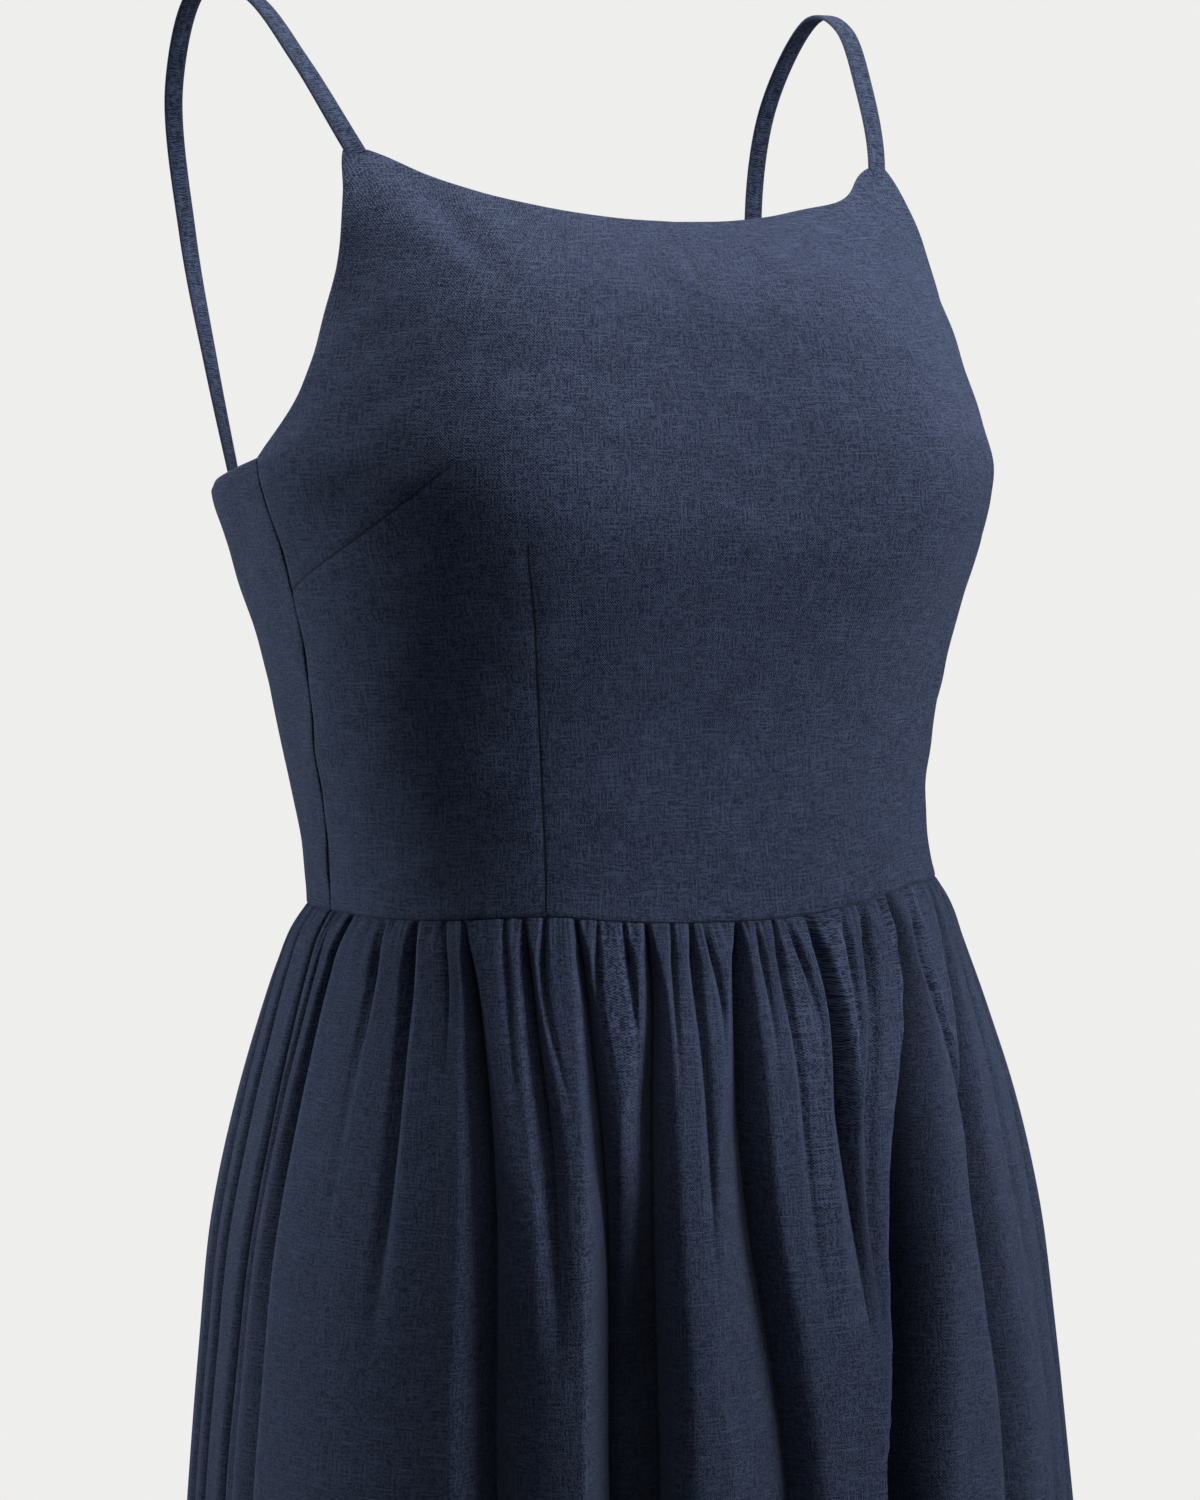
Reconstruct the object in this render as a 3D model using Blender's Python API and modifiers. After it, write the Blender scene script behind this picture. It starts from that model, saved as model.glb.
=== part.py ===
"""Sleeveless sundress in woven linen, filled out as it is worn.

A darted bodice hangs on two flat shoulder straps. A gathered skirt is sewn to it at the waist, and a
concealed zip closes the centre back seam. Z is up, the front faces -Y and the wearer's left is +X.
The origin lies midway between the undersides of the two straps where they cross the shoulders.
"""
import math

import bmesh
import bpy
import numpy as np

MM = 0.001
SUNDRESS = "sundress"

# Sizes are in mm, angles in degrees. A height is measured up from the waist seam and a skirt drop
# down from it. An angle runs round the body: 0 at the centre front, 90 at the wearer's left side.
BODICE_WALL = 1.3
SKIRT_WALL = 1.2
SEAM_GAP = 0.42
SKIRT_LENGTH = 700
SEAM_RISE_TO_LEFT = 0.0165
SEAM_RISE_TO_BACK = 0.0122
SLANT_REACH = 150
# How far the waist seam rises at an angle as it waves round the front, and how far up and down that
# carries.
SEAM_WAVE = (
    (-110, 0),
    (-75, 1.5),
    (-55, 2.2),
    (-42, 3.4),
    (-34, 3.2),
    (-25, 0.6),
    (-15, -1.6),
    (0, -3.3),
    (10, -3.8),
    (17, -3.2),
    (24, -2),
    (30, -0.2),
    (36, 1.8),
    (43, 3.6),
    (52, 2.8),
    (66, 2.4),
    (110, 0),
)
WAVE_REACH = 60

# Bodice sections: height, half width, front depth, back depth, fullness of the front.
BODICE_SECTIONS = (
    (0, 130.5, 116, 85.5, 2.95),
    (30, 133.5, 112, 89, 2.5),
    (70, 140.5, 108, 98, 2.55),
    (110, 148.5, 118, 108, 2.5),
    (145, 159, 129, 116, 2.5),
    (175, 167, 126, 117.5, 2.5),
    (210, 159.5, 117.5, 115, 2.5),
    (250, 148, 101, 112, 2.5),
    (270, 149, 82, 111.5, 2.5),
    (290, 156, 57.5, 111, 2.5),
    (305, 165, 38.5, 110.5, 2.5),
    (320, 176, 22, 110, 2.5),
)
# Skirt sections round the tops of the folds: drop, half width, front depth, back depth, fullness of
# the front.
SKIRT_SECTIONS = (
    (0, 130.5, 116, 85.5, 2.95),
    (10, 137.5, 123, 92, 2.8),
    (25, 144, 132, 98, 2.6),
    (50, 152.5, 145, 107.5, 2.5),
    (85, 162.5, 156.5, 120, 2.5),
    (130, 172.5, 164.5, 132, 2.5),
    (190, 179.5, 170.5, 140.5, 2.5),
    (255, 186, 173.5, 145.5, 2.5),
    (400, 197, 183, 156, 2.5),
    (550, 208, 193, 167, 2.5),
    (700, 217, 202, 177, 2.5),
)
BACK_FULLNESS = 2.3

# The cups: where the darts point to, and how far they lift the front.
CUP_ANGLE = 37.5
CUP_HEIGHT = 177
CUP_LIFT = 9
CUP_SPREAD = 17
CUP_REACH_UP = 60
CUP_REACH_DOWN = 50

# Edges of the bodice. The side seam and armhole are given as height and angle, the neckline and the
# top edge of the back as angle and height. The neckline and the armhole end at the strap's two edges.
SIDE_SEAM = ((0, 85.4), (60, 82.2), (110, 79.0), (150, 77.4), (183, 79.6))
ARMHOLE = (
    (183, 79.6),
    (190, 76.9),
    (197, 74.7),
    (206, 72.7),
    (220, 71.3),
    (240, 71.2),
    (258, 70.4),
    (272, 70.9),
    (288, 72.8),
    (306, 77.1),
)
NECKLINE = ((0, 275.7), (20, 277), (40, 281.6), (55, 288.2), (65, 295.3), (75.5, 306.4))
BACK_EDGE = ((79.6, 183), (92, 177), (104, 172), (119, 169.5), (132, 169), (156, 167.5), (180, 167))

FRONT_COLUMNS = 33
BACK_COLUMNS = 12
SIDE_ROWS = 8
ARMHOLE_ROWS = 7

# Gathers of the skirt front, from the wearer's right to the left. Each row is one valley between two
# folds: its angle at the seam, 20 and 75 mm down and from 220 mm down, its depth 15, 80, 170 and 700 mm
# down, then how far its sides reach to the right and to the left from 170 mm down. Small gathers die
# out; the deep ones run on to the hem.
GATHER_DROPS = (0, 20, 75, 220)
DEPTH_DROPS = (0, 15, 80, 170, 700)
GATHERS = (
    (-101, -99.5, -98, -99, 3, 5, 5, 10, 6, 8),
    (-94, -93, -92, -93.5, 3, 4, 4, 4, 5, 6),
    (-88, -87, -86, -88.5, 4, 5, 6, 9, 5, 7),
    (-82, -81, -81, -83, 3, 2, 1, 0, 4, 4),
    (-76, -76, -76, -77.5, 8, 7, 4, 4, 12, 5),
    (-65, -64, -64, -66, 6, 1, 0, 0, 5, 5),
    (-58, -57, -55, -57, 10, 4, 0, 3, 10, 12),
    (-52.5, -50.5, -48, -51, 3, 0, 0, 0, 4, 6),
    (-49.5, -47.2, -43, -41, 11, 17, 17, 17, 12, 36),
    (-42.5, -41, -37.5, -36, 4, 0, 0, 0, 4, 4),
    (-39.5, -38, -34, -32, 10, 11, 0, 0, 10, 12),
    (-36, -35.5, -30, -29, 6, 0, 0, 0, 4, 4),
    (-31, -29.5, -26.9, -26.3, 11, 15, 22, 26, 9, 36),
    (-27, -27, -23.5, -22.5, 5, 0, 0, 0, 4, 4),
    (-22.5, -21.5, -21, -21, 8, 0, 0, 0, 4, 4),
    (-18, -17.5, -18.9, -19.5, 13, 20, 20, 18, 22, 16),
    (-13, -14, -15.2, -15.5, 5, 0, 0, 0, 4, 4),
    (-9, -10, -11.2, -11, 9, 3, 0, 0, 10, 12),
    (-6.5, -6, -8.5, -6.5, 5, 0, 0, 0, 4, 4),
    (1.5, -0.5, -4, -0.8, 14, 19, 13, 13, 30, 14),
    (5, 3.5, 0.5, 2.5, 4, 0, 0, 0, 4, 4),
    (9, 7, 4, 6, 6, 2, 0, 0, 8, 8),
    (11.5, 11.5, 8, 8, 5, 0, 0, 0, 4, 4),
    (16.5, 16, 12, 11, 11, 12, 0, 0, 12, 9),
    (24, 21, 13.8, 12, 5, 0, 0, 0, 4, 4),
    (28.5, 25, 15.5, 13.5, 11, 4, 0, 0, 8, 8),
    (35, 33, 23.8, 15, 13, 26, 36, 38, 10, 26),
    (40, 37, 33.5, 31.5, 8, 3, 0, 0, 7, 8),
    (48, 45, 36, 34.5, 9, 14, 10, 10, 10, 20),
    (55, 50.5, 44, 45.5, 5, 3, 1, 6, 8, 10),
    (61, 57, 52, 54, 6, 8, 12, 20, 14, 18),
)
# The rest of the waist repeats them: all rows in reverse order, then the first few again.
HIDDEN_MIRROR_ANGLE = 122
REPEATED_ROWS = 5
REPEATED_TURN = 328
# The right, left and back seams of the skirt each lie in a valley, which takes the place of the nearest.
SEAM_VALLEYS = (
    (-85.4, -84.5, -83.5, -86, 5, 4, 4, 9, 5, 6),
    (85.4, 87, 90, 92, 5, 8, 12, 18, 14, 14),
    (180, 179.5, 178, 180, 5, 7, 9, 14, 12, 12),
)
DEPTH_IN_SEAM = 0.3
# A valley's width near the seam and 90 mm down: the least, and what each mm of depth adds.
WIDTH_AT_SEAM = (4, 0.6)
WIDTH_BELOW = (5, 1.1)
WIDTH_DROP = 90
SETTLED_DROP = 170
LEAN_LEAST = 0.35
# A valley has a steep wall on its right and a long hollow slope on its left. The deepest have a floor
# too: its share of the reach, and the depths where it starts and is whole.
BRINK = 1.3
CUSP = 2.4
FLOOR_SHARE = 0.3
FLOOR_DEPTHS = (26, 34)
COLUMNS_PER_GATHER = 4
SKIRT_ROW_DROPS = (0, 5, 12, 24, 45, 80, 120, 170, 240, 330, 440, 570, 700)

# Straps: a path over the wearer's left shoulder, mirrored for the right. Columns are the distance to
# the side, the distance back, the height, and the turn of the strap's width from the X axis.
STRAP_WIDTH = 8.4
STRAP_THICKNESS = 1.8
STRAP_END_CLEAR = 0.35
STRAP_PATH = (
    (121.0, -29.0, 306.3, 11),
    (131, 1, 345, -4),
    (139.5, 33, 375, -6),
    (147, 77, 386, -4),
    (146, 120.5, 350, -6),
    (140, 125, 286, -12),
    (138.5, 101.5, 227.5, -30),
    (136.4, 75.6, 169.7, -46),
)
STRAP_STEPS = 26
STRAP_TOP_HEIGHT = 386.4
STRAP_TOP_BACK = 68

# Zip: the slider lies on the outside of the seam under the top edge, and its tab hangs from it.
SLIDER_HEIGHT = 157
SLIDER_SIZE = (5.0, 1.0, 10.0)
SLIDER_CLEAR = 0.3
BRIDGE_WIDTH = 1.6
BRIDGE_LENGTH = 8.6
BRIDGE_THICKNESS = 0.9
BRIDGE_ROOM = 1.7
TAB_BAR_RADIUS = 0.5
TAB_ARM_WIDTH = 1.2
TAB_ARM_LENGTH = 6.4
TAB_ARM_SPREAD = 1.75
TAB_WIDTH = 6.0
TAB_LENGTH = 15.0
TAB_THICKNESS = 1.0
TAB_SIDES = 20

LINEN = ("navy_linen", (0.028, 0.040, 0.085, 1.0), 0.85, 0.0)
PAINTED_METAL = ("navy_painted_metal", (0.020, 0.028, 0.060, 1.0), 0.42, 0.6)


def clear_scene():
    for old in list(bpy.data.objects):
        bpy.data.objects.remove(old)


def material(name, colour, roughness, metallic):
    made = bpy.data.materials.new(name)
    made.use_nodes = True
    shader = made.node_tree.nodes["Principled BSDF"]
    shader.inputs["Base Color"].default_value = colour
    shader.inputs["Roughness"].default_value = roughness
    shader.inputs["Metallic"].default_value = metallic
    return made


def smooth(where, stations, values):
    """A smooth curve through values at stations, held at its ends."""
    stations = np.asarray(stations, float)
    values = np.asarray(values, float)
    where = np.clip(np.asarray(where, float), stations[0], stations[-1])
    slopes = np.gradient(values, stations, axis=0)
    first = np.clip(np.searchsorted(stations, where) - 1, 0, len(stations) - 2)
    step = stations[first + 1] - stations[first]
    t = (where - stations[first]) / step
    if values.ndim > 1:
        t = t[:, None]
        step = step[:, None]
    start = (1 + 2 * t) * (1 - t) ** 2 * values[first] + t * (1 - t) ** 2 * step * slopes[first]
    end = t * t * (3 - 2 * t) * values[first + 1] - t * t * (1 - t) * step * slopes[first + 1]
    return start + end


def section_radius(angle, stations, half_widths, fronts, backs, fullnesses, where):
    """Radius of a section that is full at the sides and flatter at front and back."""
    half_width = smooth(where, stations, half_widths)
    turn = np.radians(angle)
    facing_front = np.cos(turn) > 0
    depth = np.where(facing_front, smooth(where, stations, fronts), smooth(where, stations, backs))
    fullness = np.where(facing_front, smooth(where, stations, fullnesses), BACK_FULLNESS)
    side_share = (np.abs(np.sin(turn)) / half_width) ** fullness
    depth_share = (np.abs(np.cos(turn)) / depth) ** fullness
    return (side_share + depth_share) ** (-1 / fullness)


def cup_lift(angle, height):
    reach = np.where(height > CUP_HEIGHT, CUP_REACH_UP, CUP_REACH_DOWN)
    upright = ((height - CUP_HEIGHT) / reach) ** 2
    left = ((angle - CUP_ANGLE) / CUP_SPREAD) ** 2
    right = ((angle + CUP_ANGLE) / CUP_SPREAD) ** 2
    return CUP_LIFT * (np.exp(-left - upright) + np.exp(-right - upright))


def round_the_body(angle, radius, height):
    """Points in mm for an angle, radius and height, with the slant and wave of the waist seam."""
    turn = np.radians(angle)
    x = radius * np.sin(turn)
    y = -radius * np.cos(turn)
    near_waist = np.clip(1 - np.abs(height) / SLANT_REACH, 0, 1)
    z = height + near_waist * (SEAM_RISE_TO_LEFT * x + SEAM_RISE_TO_BACK * y)
    at_wave = np.clip(1 - np.abs(height) / WAVE_REACH, 0, 1)
    wave_angles, rises = np.array(SEAM_WAVE, float).T
    turned = np.clip((angle + 180) % 360 - 180, wave_angles[0], wave_angles[-1])
    z = z + at_wave * smooth(turned, wave_angles, rises)
    return np.stack(np.broadcast_arrays(x, y, z), -1)


def bodice_point(angle, height):
    height = np.asarray(height, float)
    radius = section_radius(angle, *np.array(BODICE_SECTIONS, float).T, height)
    return round_the_body(angle, radius + cup_lift(angle, height), height)


def in_frame(points):
    """From garment heights in mm to the object's own frame in metres."""
    return (np.asarray(points, float) - (0, STRAP_TOP_BACK, STRAP_TOP_HEIGHT)) * MM


def finish_object(name, mesh, look, collection):
    mesh.materials.append(look)
    made = bpy.data.objects.new(name, mesh)
    collection.objects.link(made)
    return made


def sheet_mesh(name, grid):
    """An open mesh over a grid of points, rows going up and columns to the wearer's left."""
    rows, columns = grid.shape[:2]
    points = in_frame(grid.reshape(-1, 3))
    quads = []
    for row in range(rows - 1):
        for column in range(columns - 1):
            corner = row * columns + column
            quads.append((corner, corner + 1, corner + columns + 1, corner + columns))
    mesh = bpy.data.meshes.new(name)
    mesh.from_pydata(points.tolist(), [], quads)
    mesh.shade_smooth()
    return mesh


def cloth_panel(name, grid, wall, look, collection):
    """A panel of cloth whose outer face is the grid."""
    panel = finish_object(name, sheet_mesh(name, grid), look, collection)
    thicken = panel.modifiers.new("wall", "SOLIDIFY")
    thicken.thickness = wall * MM
    thicken.offset = -1
    thicken.use_even_offset = True
    thicken.use_quality_normals = True
    return panel


def patch(bottom, top, start, end):
    """Fill a four-sided patch of angle and height from its edges, each a list of pairs."""
    bottom, top, start, end = (np.asarray(edge, float) for edge in (bottom, top, start, end))
    u = np.linspace(0, 1, len(bottom))[None, :, None]
    v = np.linspace(0, 1, len(start))[:, None, None]
    across = (1 - v) * bottom[None] + v * top[None]
    along = (1 - u) * start[:, None] + u * end[:, None]
    corners = (1 - v) * ((1 - u) * bottom[0] + u * bottom[-1]) + v * ((1 - u) * top[0] + u * top[-1])
    return across + along - corners


def along_table(table, where):
    """The second column of a table at places in its first."""
    stations, values = np.array(table, float).T
    return smooth(where, stations, values)


def seam_clearance(radius):
    return math.degrees(SEAM_GAP / 2 / radius)


def front_side_edge():
    """Angle and height up the side seam and round the armhole to the strap."""
    underarm = ARMHOLE[0][0]
    seam_heights = np.linspace(SEAM_GAP / 2, underarm, SIDE_ROWS + 1)
    seam = np.stack([along_table(SIDE_SEAM, seam_heights), seam_heights], -1)
    table = np.array(ARMHOLE, float)
    reach = np.concatenate([[0], np.cumsum(np.hypot(np.diff(table[:, 0]), 2 * np.diff(table[:, 1])))])
    along = np.linspace(0, reach[-1], ARMHOLE_ROWS + 1)[1:]
    armhole = np.stack([smooth(along, reach, table[:, 1]), smooth(along, reach, table[:, 0])], -1)
    edge = np.concatenate([seam, armhole])
    edge[: SIDE_ROWS + 1, 0] -= seam_clearance(BODICE_SECTIONS[0][1])
    return edge


def make_bodice_front(look, collection):
    left = front_side_edge()
    right = left * (-1, 1)
    spread = np.linspace(-1, 1, FRONT_COLUMNS + 1)
    bottom = np.stack([spread * left[0, 0], np.full_like(spread, SEAM_GAP / 2)], -1)
    neck_end = NECKLINE[-1][0]
    neck_angles = np.linspace(-neck_end, neck_end, FRONT_COLUMNS - 1)
    neckline = np.stack([neck_angles, along_table(NECKLINE, np.abs(neck_angles))], -1)
    top = np.concatenate([right[-1:], neckline, left[-1:]])
    angle, height = np.moveaxis(patch(bottom, top, right, left), -1, 0)
    return cloth_panel("bodice_front", bodice_point(angle, height), BODICE_WALL, look, collection)


def make_bodice_back(side, look, collection):
    """One half of the back, from its side seam to the centre back."""
    underarm = BACK_EDGE[0][1]
    heights = np.linspace(SEAM_GAP / 2, underarm, SIDE_ROWS + 1)
    start_angles = along_table(SIDE_SEAM, heights) + seam_clearance(BODICE_SECTIONS[0][1])
    start = np.stack([start_angles, heights], -1)
    centre = 180 - seam_clearance(BODICE_SECTIONS[0][3])
    bottom_angles = np.linspace(start_angles[0], centre, BACK_COLUMNS + 1)
    bottom = np.stack([bottom_angles, np.full_like(bottom_angles, SEAM_GAP / 2)], -1)
    top_angles = np.linspace(start_angles[-1], centre, BACK_COLUMNS + 1)
    top = np.stack([top_angles, along_table(BACK_EDGE, top_angles)], -1)
    end_heights = np.linspace(bottom[-1, 1], top[-1, 1], SIDE_ROWS + 1)
    end = np.stack([np.full_like(end_heights, centre), end_heights], -1)
    angle, height = np.moveaxis(patch(bottom, top, start, end), -1, 0)
    grid = bodice_point(angle, height)
    name = "bodice_back_left"
    if side == "right":
        grid = bodice_point(-angle, height)[:, ::-1]
        name = "bodice_back_right"
    return cloth_panel(name, grid, BODICE_WALL, look, collection)


def all_gathers():
    """Every valley round the waist, by rising angle."""
    front = np.array(GATHERS, float)
    hidden, again = front[::-1].copy(), front[:REPEATED_ROWS].copy()
    hidden[:, :4] = HIDDEN_MIRROR_ANGLE - hidden[:, :4]
    hidden[:, 8:] = hidden[:, :7:-1]
    again[:, :4] += REPEATED_TURN
    valleys = np.concatenate([front, hidden, again])
    for seam in SEAM_VALLEYS:
        valleys[nearest_valley(valleys, seam)] = seam
    return valleys


def nearest_valley(valleys, seam):
    return int(np.argmin(np.abs(valleys[:, 0] - seam[0])))


def valley_angles(valleys, drop):
    return np.array([smooth(drop, GATHER_DROPS, row[:4]) for row in valleys])


def valley_depths(valleys, drop):
    """Depths are small in the seam itself, where the gathers are drawn up, and change fast below it."""
    in_seam = valleys[:, 4:5] * DEPTH_IN_SEAM
    table = np.concatenate([in_seam, valleys[:, 4:8]], 1)
    start, end = DEPTH_DROPS[1:3]
    if start < drop < end:
        drop = end - (end - drop) ** 2 / (end - start)
    return np.array([np.interp(drop, DEPTH_DROPS, row) for row in table])


def valley_reaches(valleys, depths, drop):
    """How far each valley's two sides reach: by its depth near the seam, its own sizes below."""
    reaches = valleys[:, 8:]
    widened = min(drop / WIDTH_DROP, 1)
    settled = np.clip((drop - WIDTH_DROP) / (SETTLED_DROP - WIDTH_DROP), 0, 1)
    at_seam = WIDTH_AT_SEAM[0] + WIDTH_AT_SEAM[1] * depths
    below = WIDTH_BELOW[0] + WIDTH_BELOW[1] * depths
    width = at_seam * (1 - widened) + below * widened
    lean = np.clip(reaches / reaches.sum(1, keepdims=True), LEAN_LEAST, 1 - LEAN_LEAST)
    return width[:, None] * lean * (1 - settled) + reaches * settled


def valley_fall(away, depths, reaches):
    """How far the cloth falls in, by its distance from each valley."""
    floor = 1 + FLOOR_SHARE * np.interp(depths, FLOOR_DEPTHS, (0, 1))
    share = np.clip(floor * (1 - np.abs(away) / np.where(away < 0, reaches[:, 0], reaches[:, 1])), 0, 1)
    return (depths * np.where(away < 0, share**BRINK, share**CUSP)).sum(1)


def skirt_row(valleys, drop):
    """One level of the skirt: a point in each valley and between valleys."""
    centres = valley_angles(valleys, drop)
    depths = valley_depths(valleys, drop)
    following = np.append(centres[1:], centres[0] + 360)
    shares = np.arange(COLUMNS_PER_GATHER) / COLUMNS_PER_GATHER
    angles = (centres[:, None] + shares * (following - centres)[:, None]).ravel()
    radius = section_radius(angles, *np.array(SKIRT_SECTIONS, float).T, np.full_like(angles, drop))
    away = (angles[:, None] - centres[None] + 180) % 360 - 180
    reaches = valley_reaches(valleys, depths, drop)
    radius = radius - valley_fall(np.radians(away) * radius[:, None], depths, reaches)
    height = -np.full_like(angles, drop)
    height = height - (SEAM_GAP / 2 if drop == 0 else 0)
    return round_the_body(angles, radius, height)


def skirt_ring():
    """All rows of the skirt from the hem up."""
    valleys = all_gathers()
    return np.array([skirt_row(valleys, drop) for drop in reversed(SKIRT_ROW_DROPS)])


def skirt_seams():
    """Column numbers of the right side seam, left side seam and centre back seam."""
    valleys = all_gathers()
    return [nearest_valley(valleys, seam) * COLUMNS_PER_GATHER for seam in SEAM_VALLEYS]


def between_seams(ring, first, last):
    """The columns from one seam to the next, drawn in by half the seam gap at both."""
    count = ring.shape[1]
    columns = np.arange(first, last + 1 if last > first else last + count + 1) % count
    panel = ring[:, columns].copy()
    for edge, inner in ((0, 1), (-1, -2)):
        inward = panel[:, inner] - panel[:, edge]
        panel[:, edge] += inward / np.linalg.norm(inward, axis=1, keepdims=True) * SEAM_GAP / 2
    return panel


def make_skirt(look, collection):
    ring = skirt_ring()
    right_side, left_side, centre_back = skirt_seams()
    spans = (
        ("skirt_front", right_side, left_side),
        ("skirt_back_left", left_side, centre_back),
        ("skirt_back_right", centre_back, right_side),
    )
    for name, first, last in spans:
        cloth_panel(name, between_seams(ring, first, last), SKIRT_WALL, look, collection)


def strap_grid():
    """Rails of points along the strap: its two edges and the line between them."""
    table = np.array(STRAP_PATH, float)
    reach = np.concatenate([[0], np.cumsum(np.linalg.norm(np.diff(table[:, :3], axis=0), axis=1))])
    along = np.linspace(STRAP_END_CLEAR, reach[-1] - STRAP_END_CLEAR, STRAP_STEPS + 1)
    centre = smooth(along, reach, table[:, :3])
    turn = np.radians(smooth(along, reach, table[:, 3]))
    tangent = np.gradient(centre, axis=0)
    tangent /= np.linalg.norm(tangent, axis=1, keepdims=True)
    width = np.stack([np.cos(turn), np.sin(turn), np.zeros_like(turn)], -1)
    across = width - tangent * (width * tangent).sum(1, keepdims=True)
    across[0] = width[0]
    across[-1] = width[-1]
    across /= np.linalg.norm(across, axis=1, keepdims=True)
    rails = [centre + across * STRAP_WIDTH * share for share in (-0.5, 0, 0.5)]
    return np.stack(rails, 1)


def make_strap(side, look, collection):
    grid = strap_grid()
    if side == "right":
        grid = (grid * (-1, 1, 1))[:, ::-1]
    strap = cloth_panel("strap_" + side, grid, STRAP_THICKNESS, look, collection)
    strap.modifiers["wall"].offset = 0
    return strap


def joined(name, pieces, look, collection):
    """One closed body from several overlapping ones."""
    base = finish_object(name, pieces[0], look, collection)
    for number, piece in enumerate(pieces[1:]):
        other = bpy.data.objects.new(name + "_joined_%d" % number, piece)
        CUTTERS.objects.link(other)
        other.hide_render = True
        other.display_type = "WIRE"
        join = base.modifiers.new("join_%d" % number, "BOOLEAN")
        join.operation = "UNION"
        join.solver = "EXACT"
        join.object = other
    return base


def box_mesh(name, size, centre):
    shape = bmesh.new()
    corners = bmesh.ops.create_cube(shape, size=1)["verts"]
    bmesh.ops.scale(shape, vec=[side * MM for side in size], verts=corners)
    bmesh.ops.translate(shape, vec=[place * MM for place in centre], verts=corners)
    mesh = bpy.data.meshes.new(name)
    shape.to_mesh(mesh)
    shape.free()
    return mesh


def zip_axis():
    """The line about which the tab swings, in mm: it runs along X under the slider's bridge."""
    back = float(bodice_point(np.array(180.0), np.array(float(SLIDER_HEIGHT)))[1])
    base_face = back + SLIDER_CLEAR + SLIDER_SIZE[1]
    return base_face + BRIDGE_ROOM / 2, SLIDER_HEIGHT


def place_on_zip(made):
    """Put a piece modelled about the tab's axis in its place on the seam."""
    back, height = zip_axis()
    made.location = in_frame((0, back, height))


def make_zip_slider(look, collection):
    width, thickness, length = SLIDER_SIZE
    base_back = -BRIDGE_ROOM / 2 - thickness / 2
    bridge_back = BRIDGE_ROOM / 2 + BRIDGE_THICKNESS / 2
    foot_depth = BRIDGE_ROOM + BRIDGE_THICKNESS + thickness
    foot_centre = BRIDGE_ROOM / 2 + BRIDGE_THICKNESS - foot_depth / 2
    foot_height = BRIDGE_LENGTH / 2 - BRIDGE_THICKNESS / 2
    slider = joined(
        "zip_slider",
        [
            box_mesh("slider_base", (width, thickness, length), (0, base_back, 0)),
            box_mesh("bridge", (BRIDGE_WIDTH, BRIDGE_THICKNESS, BRIDGE_LENGTH), (0, bridge_back, 0)),
            box_mesh("top_foot", (BRIDGE_WIDTH, foot_depth, BRIDGE_THICKNESS), (0, foot_centre, foot_height)),
            box_mesh("low_foot", (BRIDGE_WIDTH, foot_depth, BRIDGE_THICKNESS), (0, foot_centre, -foot_height)),
        ],
        look,
        collection,
    )
    place_on_zip(slider)
    for piece in slider.modifiers:
        place_on_zip(piece.object)


def tab_outline():
    """The outer edge of the tab: two arms, widening to a rounded end."""
    arm_outside = TAB_ARM_SPREAD + TAB_ARM_WIDTH / 2
    round_centre = -TAB_LENGTH + TAB_WIDTH / 2
    points = [(arm_outside, TAB_BAR_RADIUS), (arm_outside, -TAB_ARM_LENGTH + 1)]
    for step in range(TAB_SIDES // 2 + 1):
        turn = math.radians(360 / TAB_SIDES * step)
        points.append((math.cos(turn) * TAB_WIDTH / 2, round_centre - math.sin(turn) * TAB_WIDTH / 2))
    points += [(-arm_outside, -TAB_ARM_LENGTH + 1), (-arm_outside, TAB_BAR_RADIUS)]
    return points


def make_zip_pull(look, collection):
    """A flat tab with a window, so that its top bar passes under the slider's bridge."""
    arm_inside = TAB_ARM_SPREAD - TAB_ARM_WIDTH / 2
    window = [
        (arm_inside, -TAB_BAR_RADIUS),
        (-arm_inside, -TAB_BAR_RADIUS),
        (-arm_inside, -TAB_ARM_LENGTH),
        (arm_inside, -TAB_ARM_LENGTH),
    ]
    curve = bpy.data.curves.new("zip_pull_outline", "CURVE")
    curve.dimensions = "2D"
    curve.fill_mode = "BOTH"
    curve.extrude = TAB_THICKNESS / 2 * MM
    for outline in (tab_outline(), window):
        spline = curve.splines.new("POLY")
        spline.points.add(len(outline) - 1)
        for point, (x, z) in zip(spline.points, outline):
            point.co = (x * MM, z * MM, 0, 1)
        spline.use_cyclic_u = True
    flat = bpy.data.objects.new("zip_pull_flat", curve)
    collection.objects.link(flat)
    evaluated = flat.evaluated_get(bpy.context.evaluated_depsgraph_get())
    mesh = bpy.data.meshes.new_from_object(evaluated)
    bpy.data.objects.remove(flat)
    shape = bmesh.new()
    shape.from_mesh(mesh)
    bmesh.ops.remove_doubles(shape, verts=shape.verts, dist=1e-6)
    bmesh.ops.recalc_face_normals(shape, faces=shape.faces)
    shape.to_mesh(mesh)
    shape.free()
    mesh.name = "zip_pull"
    mesh.materials.clear()
    pull = finish_object("zip_pull", mesh, look, collection)
    pull.rotation_euler = (math.radians(90), 0, 0)
    place_on_zip(pull)


clear_scene()
DRESS = bpy.data.collections.new(SUNDRESS)
bpy.context.scene.collection.children.link(DRESS)
CUTTERS = bpy.data.collections.new("cutters")
bpy.context.scene.collection.children.link(CUTTERS)

make_bodice_front(material(*LINEN), DRESS)
make_skirt(material(*LINEN), DRESS)
for wearer_side in ("left", "right"):
    make_bodice_back(wearer_side, material(*LINEN), DRESS)
    make_strap(wearer_side, material(*LINEN), DRESS)
make_zip_slider(material(*PAINTED_METAL), DRESS)
make_zip_pull(material(*PAINTED_METAL), DRESS)
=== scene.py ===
"""A navy linen sundress, filled out as it is worn, in a pale studio."""

import math

import bpy
import numpy as np
from mathutils import Matrix, Vector


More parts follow.
